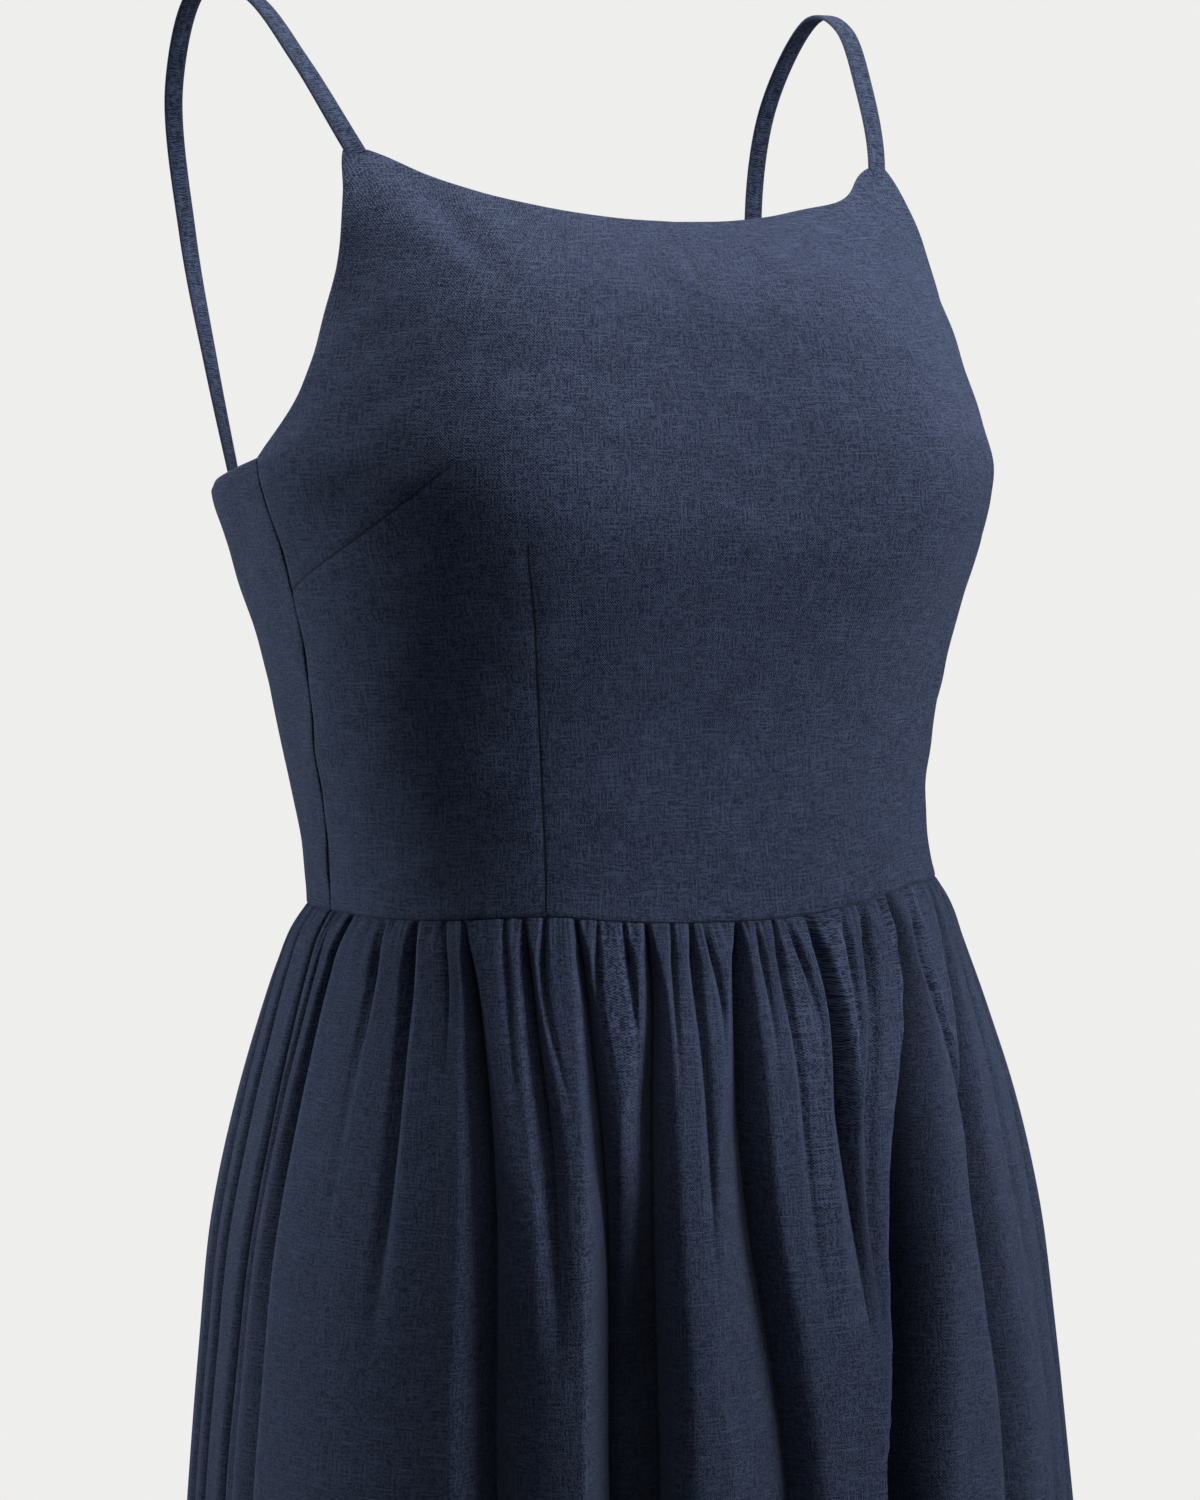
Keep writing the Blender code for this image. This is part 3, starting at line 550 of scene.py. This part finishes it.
def front_edge(shares):
    """The left edge of the bodice front, up the side seam and on round the armhole."""
    table = np.concatenate([SIDE_SEAM, ARMHOLE[1:]])
    steps = np.hypot(np.diff(table[:, 0]), CREASE_ARC * np.diff(table[:, 1]))
    reach = np.concatenate([[0], np.cumsum(steps)])
    seam_reach = reach[len(SIDE_SEAM) - 1]
    up_seam, round_armhole = np.linspace(0, seam_reach, 97), np.linspace(seam_reach, reach[-1], 65)
    along = np.concatenate([up_seam[:-1], round_armhole])
    along = np.interp(shares, np.linspace(0, 1, len(along)), along)
    on_seam = along <= seam_reach
    height = np.where(on_seam, WAIST_CLEARANCE, 0) + smooth(along, reach, table[:, 0])
    seam_angle = along_table(SIDE_SEAM, height) - SIDE_CLEARANCE
    armhole_angle = smooth(along, reach[len(SIDE_SEAM) - 1:], np.array(ARMHOLE, float)[:, 1])
    return np.stack([np.where(on_seam, seam_angle, armhole_angle), height], -1)


front_across, front_up = crowded(FRONT_COLUMNS), crowded(FRONT_ROWS)
left_edge = front_edge(front_up)
to_corner = np.abs(2 * front_across - 1)
past_neck = np.clip((to_corner - NECK_SHARE) / (1 - NECK_SHARE), 0, 1)
neck_angle = np.minimum(to_corner / NECK_SHARE, 1) * NECK_END
top_angle = np.sign(front_across - 0.5) * (neck_angle + past_neck * CORNER_RUN)
sag = SAG_DEPTH * np.exp(-(((top_angle - SAG_ANGLE) / SAG_SPREAD) ** 2))
front_top = np.stack(
    [top_angle, along_table(NECKLINE, neck_angle) - past_neck * CORNER_DROP - sag], -1
)
bottom_angle = (2 * front_across - 1) * left_edge[0, 0]
front_bottom = np.stack([bottom_angle, np.full_like(bottom_angle, WAIST_CLEARANCE)], -1)
front_angle, front_height = panel_places(
    front_bottom, front_top, left_edge * (-1, 1), left_edge, front_across, front_up
)
front_grid = bodice_point(front_angle, front_height)
from_right, from_left, from_waist, from_neckline = rim_distances(front_grid)
from_armhole = np.where(front_height > UNDERARM, np.minimum(from_right, from_left), FAR)
from_free_edge = np.minimum(from_neckline, from_armhole)
front_lift = ripple(front_angle, front_height, seed=5, size=0.28)
front_lift += drag_lift(front_angle, front_height)
front_lift *= np.clip(from_free_edge / EDGE_CALM, 0, 1)
# The darts and seams get shadow painted along their lines, each point by the line that is nearest to
# it.
from_seam, painted_shade = np.full(front_angle.shape, FAR), np.zeros(front_angle.shape)
for plainness, line in DARTS:
    away, share = from_line(front_angle, front_height, line)
    fading = np.clip((1 - share) * DART_FADE, 0, 1)
    front_lift -= DART_DEPTH * fading * np.exp(-((away / DART_WIDTH) ** 2))
    nearer = np.abs(away) < np.abs(from_seam)
    from_seam = np.where(nearer, away, from_seam)
    painted_shade = np.where(nearer, plainness * fading, painted_shade)
seam_part = np.interp(front_height, SEAM_FADE, (1, 0))
for from_side in (from_right, from_left):
    front_lift += turned_edge(from_side, SEAM_ROLL) * seam_part
    front_lift += turned_edge(from_side, EDGE_ROLL) * (1 - seam_part)
    nearer = from_side < np.minimum(np.abs(from_seam), SIDE_REACH)
    from_seam = np.where(nearer, from_side, from_seam)
    painted_shade = np.where(nearer, SIDE_SHADE * seam_part, painted_shade)
nearer = from_waist < np.minimum(np.abs(from_seam), WAIST_REACH)
from_seam = np.where(nearer, from_waist, from_seam)
painted_shade = np.where(nearer, WAIST_SHADE, painted_shade)
front_lift += turned_edge(from_neckline, EDGE_ROLL) + turned_edge(from_waist, WAIST_ROLL)
front_lift += WAIST_SWELL * np.exp(-((front_height / SWELL_REACH) ** 2))
turning_ridge = RIDGE_HEIGHT * np.exp(-(((from_left - RIDGE_PLACE) / RIDGE_WIDTH) ** 2))
front_lift += turning_ridge * np.interp(front_height, RIDGE_START, (0, 1))
linen_weave = build_linen_weave()
bodice_linen = linen("bodice_linen")
bodice_front = cloth_object(
    "linen_bodice_front",
    pushed(front_grid, front_lift),
    np.stack([front_angle * FRONT_WEAVE_ARC, front_height], -1),
    bodice_linen,
    from_seam,
    painted_shade,
)
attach(bodice_front, "dress")
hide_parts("bodice_front")

# Bodice back: two panels of the same linen, seamed to the front under the arms and closed down the
# centre by the zip. The top edge is turned in and runs straight across under the shoulder blades.
BACK_EDGE = (
    (79.6, 183), (92, 177), (104, 172), (119, 169.5), (132, 169), (156, 167.5), (180, 167)
)
CENTRE_ANGLE, CENTRE_HEIGHT = 179.94, 167
BACK_WEAVE_ARC, BACK_WEAVE_START = 2.3, 30
BACK_WAIST_ROLL = (1.0, 0.8)
BACK_COLUMNS, BACK_ROWS = 124, 104
back_across, back_up = crowded(BACK_COLUMNS), crowded(BACK_ROWS)
for side, sign in (("left", 1), ("right", -1)):
    seam_heights = WAIST_CLEARANCE + back_up * (UNDERARM - WAIST_CLEARANCE)
    centre_heights = WAIST_CLEARANCE + back_up * (CENTRE_HEIGHT - WAIST_CLEARANCE)
    side_angles = along_table(SIDE_SEAM, seam_heights) + SIDE_CLEARANCE
    side_edge = np.stack([side_angles, seam_heights], -1)
    centre_edge = np.stack([np.full_like(centre_heights, CENTRE_ANGLE), centre_heights], -1)
    waist_angles, top_angles = (
        start + back_across * (CENTRE_ANGLE - start) for start in side_angles[[0, -1]]
    )
    waist_edge = np.stack([waist_angles, np.full_like(waist_angles, WAIST_CLEARANCE)], -1)
    top_edge = np.stack([top_angles, along_table(BACK_EDGE, top_angles)], -1)
    angle, height = panel_places(waist_edge, top_edge, side_edge, centre_edge, back_across, back_up)
    grid = bodice_point(sign * angle, height)
    uv = np.stack([sign * (angle * BACK_WEAVE_ARC + BACK_WEAVE_START), height], -1)
    from_side, from_centre, from_waist, from_top = rim_distances(grid)
    lift = ripple(angle, height, seed=11 if sign > 0 else 12, size=0.35)
    lift += WAIST_SWELL * np.exp(-((height / SWELL_REACH) ** 2))
    lift += turned_edge(from_side, SEAM_ROLL) + turned_edge(from_centre, SEAM_ROLL)
    lift += turned_edge(from_waist, BACK_WAIST_ROLL) + turned_edge(from_top, EDGE_ROLL)
    from_seam = np.minimum(from_side, from_centre)
    if sign < 0:
        grid, uv, lift, from_seam = (part[:, ::-1] for part in (grid, uv, lift, from_seam))
    back = cloth_object(
        "linen_bodice_back_" + side, pushed(grid, lift), uv, bodice_linen, from_seam, SIDE_SHADE
    )
    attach(back, "dress")
    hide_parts("bodice_back_" + side)

# Skirt: a front and two back panels of the same linen, cut straight and gathered into the waist
# seam to less than half their width. The gathers fall into long folds that reach the hem.
SKIRT_SECTIONS = np.array(
    (
        # drop from the waist seam, half width, front depth, back depth, fullness of the front
        (0, 130.5, 116, 85.5, 2.95),
        (10, 137.5, 123, 92, 2.8),
        (25, 144, 132, 98, 2.6),
        (50, 152.5, 145, 107.5, 2.5),
        (85, 162.5, 156.5, 120, 2.5),
        (130, 172.5, 164.5, 132, 2.5),
        (190, 179.5, 170.5, 140.5, 2.5),
        (255, 186, 173.5, 145.5, 2.5),
        (400, 197, 183, 156, 2.5),
        (550, 208, 193, 167, 2.5),
        (700, 217, 202, 177, 2.5),
    ),
    float,
)
# Each row is one valley between folds, from the wearer's right to the left: its angle at each of
# GATHER_DROPS, its depth at each of DEPTH_DROPS but the first, then how far its sides reach to the
# right and to the left from 170 mm down. Each panel ends in a valley, and those come last.
GATHER_DROPS = (0, 20, 75, 220)
DEPTH_DROPS = (0, 15, 80, 170, 700)
GATHERS = (
    (-101, -99.5, -98, -99, 3, 5, 5, 10, 6, 8),
    (-94, -93, -92, -93.5, 3, 4, 4, 4, 5, 6),
    (-88, -87, -86, -88.5, 4, 5, 6, 9, 5, 7),
    (-82, -81, -81, -83, 3, 2, 1, 0, 4, 4),
    (-76, -76, -76, -77.5, 8, 7, 4, 4, 12, 5),
    (-65, -64, -64, -66, 6, 1, 0, 0, 5, 5),
    (-58, -57, -55, -57, 10, 4, 0, 3, 10, 12),
    (-52.5, -50.5, -48, -51, 3, 0, 0, 0, 4, 6),
    (-49.5, -47.2, -43, -41, 11, 17, 17, 17, 12, 36),
    (-42.5, -41, -37.5, -36, 4, 0, 0, 0, 4, 4),
    (-39.5, -38, -34, -32, 10, 11, 0, 0, 10, 12),
    (-36, -35.5, -30, -29, 6, 0, 0, 0, 4, 4),
    (-31, -29.5, -26.9, -26.3, 11, 15, 22, 26, 9, 36),
    (-27, -27, -23.5, -22.5, 5, 0, 0, 0, 4, 4),
    (-22.5, -21.5, -21, -21, 8, 0, 0, 0, 4, 4),
    (-18, -17.5, -18.9, -19.5, 13, 20, 20, 18, 22, 16),
    (-13, -14, -15.2, -15.5, 5, 0, 0, 0, 4, 4),
    (-9, -10, -11.2, -11, 9, 3, 0, 0, 10, 12),
    (-6.5, -6, -8.5, -6.5, 5, 0, 0, 0, 4, 4),
    (1.5, -0.5, -4, -0.8, 14, 19, 13, 13, 30, 14),
    (5, 3.5, 0.5, 2.5, 4, 0, 0, 0, 4, 4),
    (9, 7, 4, 6, 6, 2, 0, 0, 8, 8),
    (11.5, 11.5, 8, 8, 5, 0, 0, 0, 4, 4),
    (16.5, 16, 12, 11, 11, 12, 0, 0, 12, 9),
    (24, 21, 13.8, 12, 5, 0, 0, 0, 4, 4),
    (28.5, 25, 15.5, 13.5, 11, 4, 0, 0, 8, 8),
    (35, 33, 23.8, 15, 13, 26, 36, 38, 10, 26),
    (40, 37, 33.5, 31.5, 8, 3, 0, 0, 7, 8),
    (48, 45, 36, 34.5, 9, 14, 10, 10, 10, 20),
    (55, 50.5, 44, 45.5, 5, 3, 1, 6, 8, 10),
    (61, 57, 52, 54, 6, 8, 12, 20, 14, 18),
)
SEAM_VALLEYS = (
    (-85.4, -84.5, -83.5, -86, 5, 4, 4, 9, 5, 6),
    (85.4, 87, 90, 92, 5, 8, 12, 18, 14, 14),
    (180, 179.5, 178, 180, 5, 7, 9, 14, 12, 12),
)
# Behind, the rows come again reversed, so that a row's angle and its mirror's add up to MIRROR_SUM.
# Then the first few come a third time, turned on by REPEATED_TURN.
MIRROR_SUM, REPEATED_ROWS, REPEATED_TURN = 122, 5, 328
# In the seam a valley has this share of its depth 15 mm down.
DEPTH_IN_SEAM = 0.3
# A valley's width is a fixed part and a part for each mm of its depth, at the seam and at
# WIDTH_DROP. From SETTLED_DROP down it is the row's own. Above that each side has at least
# LEAST_LEAN of it.
WIDTH_AT_SEAM, WIDTH_BELOW = (2.0, 0.4), (5.0, 1.1)
WIDTH_DROP, SETTLED_DROP, LEAST_LEAN = 90, 170, 0.35
# A valley has a steep wall on its right and a long hollow slope on its left: the powers of their
# curves. The deepest have a floor too: its share of the reach, and the depths where it starts and
# is whole.
WALL_POWER, SLOPE_POWER = 1.3, 2.4
FLOOR_SHARE, FLOOR_DEPTHS = 0.3, (26, 34)
# The top edge is tucked up behind the bodice: how far up, how far in, and the drop where it is out.
TUCK_UP, TUCK_IN, TUCK_DROP = 0.9, 1.7, 1.2
# A hollow gets painted shade, darker the deeper it is, up to this shade at this depth.
HOLLOW_SHADE, HOLLOW_DEPTH = 0.6, 16
# The panels stop this far short of the seams between them.
PANEL_CLEARANCE = 0.06
COLUMNS_PER_GATHER = 12


def all_gathers():
    """Every valley round the waist, with those at the three seams in place of the nearest."""
    front = np.array(GATHERS, float)
    hidden, again = front[::-1].copy(), front[:REPEATED_ROWS].copy()
    hidden[:, :4] = MIRROR_SUM - hidden[:, :4]
    hidden[:, 8:] = hidden[:, :7:-1]
    again[:, :4] += REPEATED_TURN
    valleys = np.concatenate([front, hidden, again])
    for seam in SEAM_VALLEYS:
        valleys[int(np.argmin(np.abs(valleys[:, 0] - seam[0])))] = seam
    return valleys


def fold_depth(away, depths, reaches):
    """How far the cloth falls in, by its distance from each valley."""
    floor = 1 + FLOOR_SHARE * np.interp(depths, FLOOR_DEPTHS, (0, 1))
    reach = np.where(away < 0, reaches[:, 0], reaches[:, 1])
    share = np.clip(floor * (1 - np.abs(away) / reach), 0, 1)
    return (depths * np.where(away < 0, share**WALL_POWER, share**SLOPE_POWER)).sum(-1)


gathers = all_gathers()
# Pinches are the finest gathers, which die out just under the seam: for each its angle, its depth,
# the drop where it ends and how many degrees it strays sideways for each mm of drop.
PINCH_PITCH, PINCH_WIDTH = 2.9, 1.1
pinch_draw = np.random.default_rng(42)
pinch_starts = np.arange(-101, 259, PINCH_PITCH)
pinch_count = len(pinch_starts)
pinch_angle = pinch_starts + pinch_draw.uniform(-1.2, 1.2, pinch_count)
pinch_depth = pinch_draw.uniform(0.2, 1.5, pinch_count)
pinch_end = pinch_draw.uniform(6, 24, pinch_count)
pinch_stray = pinch_draw.uniform(-0.05, 0.05, pinch_count)


def skirt_level(drop):
    """One level of the skirt all round: its points, and the shade painted in its hollows at each."""
    centres = np.array([smooth([drop], GATHER_DROPS, row[:4])[0] for row in gathers])
    start, end = DEPTH_DROPS[1:3]
    eased_drop = end - (end - drop) ** 2 / (end - start) if start < drop < end else drop
    depths = np.array([
        np.interp(eased_drop, DEPTH_DROPS, (row[4] * DEPTH_IN_SEAM, *row[4:8])) for row in gathers
    ])
    following = np.append(centres[1:], centres[0] + 360)
    shares = np.arange(COLUMNS_PER_GATHER) / COLUMNS_PER_GATHER
    angles = (centres[:, None] + shares * (following - centres)[:, None]).ravel()
    radius = section_radius(angles, SKIRT_SECTIONS, np.full_like(angles, drop))
    away = (angles[:, None] - centres[None] + 180) % 360 - 180
    eased = np.clip(drop / WIDTH_DROP, 0, 1)
    settled = np.clip((drop - WIDTH_DROP) / (SETTLED_DROP - WIDTH_DROP), 0, 1)
    width_at_seam = WIDTH_AT_SEAM[0] + WIDTH_AT_SEAM[1] * depths
    width_below = WIDTH_BELOW[0] + WIDTH_BELOW[1] * depths
    widths = width_at_seam * (1 - eased) + width_below * eased
    leans = gathers[:, 8:] / gathers[:, 8:].sum(1, keepdims=True)
    leans = np.clip(leans, LEAST_LEAN, 1 - LEAST_LEAN)
    reaches = widths[:, None] * leans * (1 - settled) + gathers[:, 8:] * settled
    fall = fold_depth(np.radians(away) * radius[:, None], depths, reaches)
    pinch_away = (angles[:, None] - pinch_angle - pinch_stray * drop + 180) % 360 - 180
    pinch_away = np.radians(pinch_away) * radius[:, None]
    pinch_size = pinch_depth * np.clip(1 - drop / pinch_end, 0, 1) ** 0.7
    fall = fall + (pinch_size * np.exp(-((pinch_away / PINCH_WIDTH) ** 2))).sum(-1)
    tucked = TUCK_IN * np.clip(1 - drop / TUCK_DROP, 0, 1)
    points = round_the_body(angles, radius - fall - tucked, np.full_like(angles, TUCK_UP - drop))
    return points, HOLLOW_SHADE * np.clip(fall / HOLLOW_DEPTH, 0, 1)


# The levels are close under the waist seam and wider apart below, with two close at the hem.
drops = np.concatenate([
    np.linspace(0, 4, 6)[:-1],
    np.linspace(4, 40, 25)[:-1],
    np.linspace(40, 160, 36)[:-1],
    np.linspace(160, 699.4, 56),
    [700.9],
])[::-1]
levels = [skirt_level(drop) for drop in drops]
skirt_grid = np.array([points for points, fold_shade in levels])
skirt_fold_shade = np.array([fold_shade for points, fold_shade in levels])
# The cut is measured along the folds, at the first level above the hem's two.
near_hem = skirt_grid[2]
hem_steps = np.linalg.norm(np.diff(near_hem, axis=0, append=near_hem[:1]), axis=-1)
cut_place = np.concatenate([[0], np.cumsum(hem_steps)])
skirt_linen = linen("skirt_linen", puckers=3.0)

seam_columns = [
    int(np.argmin(np.abs(gathers[:, 0] - seam[0]))) * COLUMNS_PER_GATHER for seam in SEAM_VALLEYS
]
whole = skirt_grid.shape[1]
for name, first, last in (
    ("front", seam_columns[0], seam_columns[1]),
    ("back_left", seam_columns[1], seam_columns[2]),
    ("back_right", seam_columns[2], seam_columns[0] + whole),
):
    columns = np.arange(first, last + 1)
    grid = skirt_grid[:, columns % whole].copy()
    for edge, inner in ((0, 1), (-1, -2)):
        inward = grid[:, inner] - grid[:, edge]
        inward /= np.linalg.norm(inward, axis=1, keepdims=True)
        grid[:, edge] += inward * PANEL_CLEARANCE
    place = cut_place[columns % whole] + (columns // whole) * cut_place[-1]
    uv = np.stack(np.broadcast_arrays(place[None], -drops[:, None]), -1)
    fold_shade = skirt_fold_shade[:, columns % whole]
    # from_seam is 0 all over, so the skirt's painted shadow follows the shade painted in its hollows
    # alone.
    panel = cloth_object("linen_skirt_" + name, grid, uv, skirt_linen, 0.0, fold_shade)
    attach(panel, "dress")
    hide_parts("skirt_" + name)
    width = round(float(place[-1] - place[0]) / 1000, 3)

# Shoulder straps: flat strips of the same linen, folded lengthwise and turned out. Each is caught in
# at a front corner and behind the back's top edge.
STRAP_PATH = np.array(
    (
        # to the side, back, height, turn of the width from the X axis
        (118.7, -31.2, 302.6, 11),
        (120.8, -27.4, 308.6, 10),
        (131, 1, 345, -4),
        (139.5, 33, 375, -6),
        (147, 77, 386, -4),
        (146, 120.5, 350, -6),
        (140, 125, 286, -12),
        (138.5, 101.5, 227.5, -30),
        (136.4, 75.6, 169.7, -46),
    ),
    float,
)
STRAP_WIDTH, STRAP_THICKNESS, STRAP_GIRTH = 8.4, 1.7, 19.0
# The powers that make the section of a strap nearly square at its edges and flat on its faces.
EDGE_POWER, FACE_POWER = 0.35, 0.6
STRAP_RIBS, STRAP_RINGS = 32, 180
strap_linen = linen("strap_linen")
for side, sign in (("left", 1), ("right", -1)):
    steps = np.linalg.norm(np.diff(STRAP_PATH[:, :3], axis=0), axis=1)
    reach = np.concatenate([[0], np.cumsum(steps)])
    along = np.linspace(0, reach[-1] - 0.1, STRAP_RINGS)
    centre = smooth(along, reach, STRAP_PATH[:, :3])
    turn = np.radians(smooth(along, reach, STRAP_PATH[:, 3]))
    tangent = np.gradient(centre, axis=0)
    tangent /= np.linalg.norm(tangent, axis=1, keepdims=True)
    width = np.stack([np.cos(turn), np.sin(turn), np.zeros_like(turn)], -1)
    width -= tangent * (width * tangent).sum(1, keepdims=True)
    width /= np.linalg.norm(width, axis=1, keepdims=True)
    face = np.cross(tangent, width)
    turns = np.linspace(0, 2 * math.pi, STRAP_RIBS + 1)[:-1]
    across = np.sign(np.cos(turns)) * np.abs(np.cos(turns)) ** EDGE_POWER * STRAP_WIDTH / 2
    thick = np.sign(np.sin(turns)) * np.abs(np.sin(turns)) ** FACE_POWER * STRAP_THICKNESS / 2
    rings = centre[:, None] + width[:, None] * across[None, :, None]
    rings = rings + face[:, None] * thick[None, :, None]
    if sign < 0:
        rings = (rings * (-1, 1, 1))[:, ::-1]
    points = (rings.reshape(-1, 3) - ORIGIN) / 1000
    here = np.arange(len(rings) * STRAP_RIBS).reshape(len(rings), STRAP_RIBS)
    beside = np.roll(here, -1, axis=1)
    quads = np.stack([here[:-1], beside[:-1], beside[1:], here[1:]], -1).reshape(-1, 4).tolist()
    ends = [here[0, ::-1].tolist(), here[-1].tolist()]
    mesh = bpy.data.meshes.new("linen_strap_" + side)
    mesh.from_pydata(points.tolist(), [], quads + ends)
    uv = mesh.uv_layers.new(name="cloth")
    corners = np.empty(len(mesh.loops), int)
    mesh.loops.foreach_get("vertex_index", corners)
    girth_share = (corners % STRAP_RIBS) / STRAP_RIBS
    flat_uv = np.stack([girth_share * STRAP_GIRTH, along[corners // STRAP_RIBS]], -1) / 1000
    uv.data.foreach_set("uv", flat_uv.ravel())
    mesh.shade_smooth()
    mesh.materials.append(strap_linen)
    strap = bpy.data.objects.new("linen_strap_" + side, mesh)
    scene.collection.objects.link(strap)
    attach(strap, "dress")
    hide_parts("strap_" + side)

# Zip: a concealed zip down the centre back seam, closed. Only its slider and tab show, both in a
# satin navy lacquer over metal.
lacquer = bpy.data.materials.new("navy_lacquer")
lacquer.use_nodes = True
lacquer_tree = lacquer.node_tree
lacquer_shader = lacquer_tree.nodes["Principled BSDF"]
lacquer_place = lacquer_tree.nodes.new("ShaderNodeTexCoord")
lacquer_cloud = lacquer_tree.nodes.new("ShaderNodeTexNoise")
lacquer_cloud.inputs["Scale"].default_value = 900
lacquer_tree.links.new(lacquer_place.outputs["Object"], lacquer_cloud.inputs["Vector"])
lacquer_colour = lacquer_tree.nodes.new("ShaderNodeMix")
lacquer_colour.data_type = "RGBA"
lacquer_colour.inputs["A"].default_value = (0.012, 0.018, 0.040, 1)
lacquer_colour.inputs["B"].default_value = (0.024, 0.033, 0.066, 1)
lacquer_tree.links.new(lacquer_cloud.outputs["Fac"], lacquer_colour.inputs["Factor"])
lacquer_tree.links.new(lacquer_colour.outputs["Result"], lacquer_shader.inputs["Base Color"])
lacquer_shader.inputs["Metallic"].default_value = 0.3
lacquer_shader.inputs["Roughness"].default_value = 0.38
for node in ("zip_slider", "zip_pull"):
    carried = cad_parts[node]
    for material_slot in carried.material_slots:
        material_slot.material = lacquer
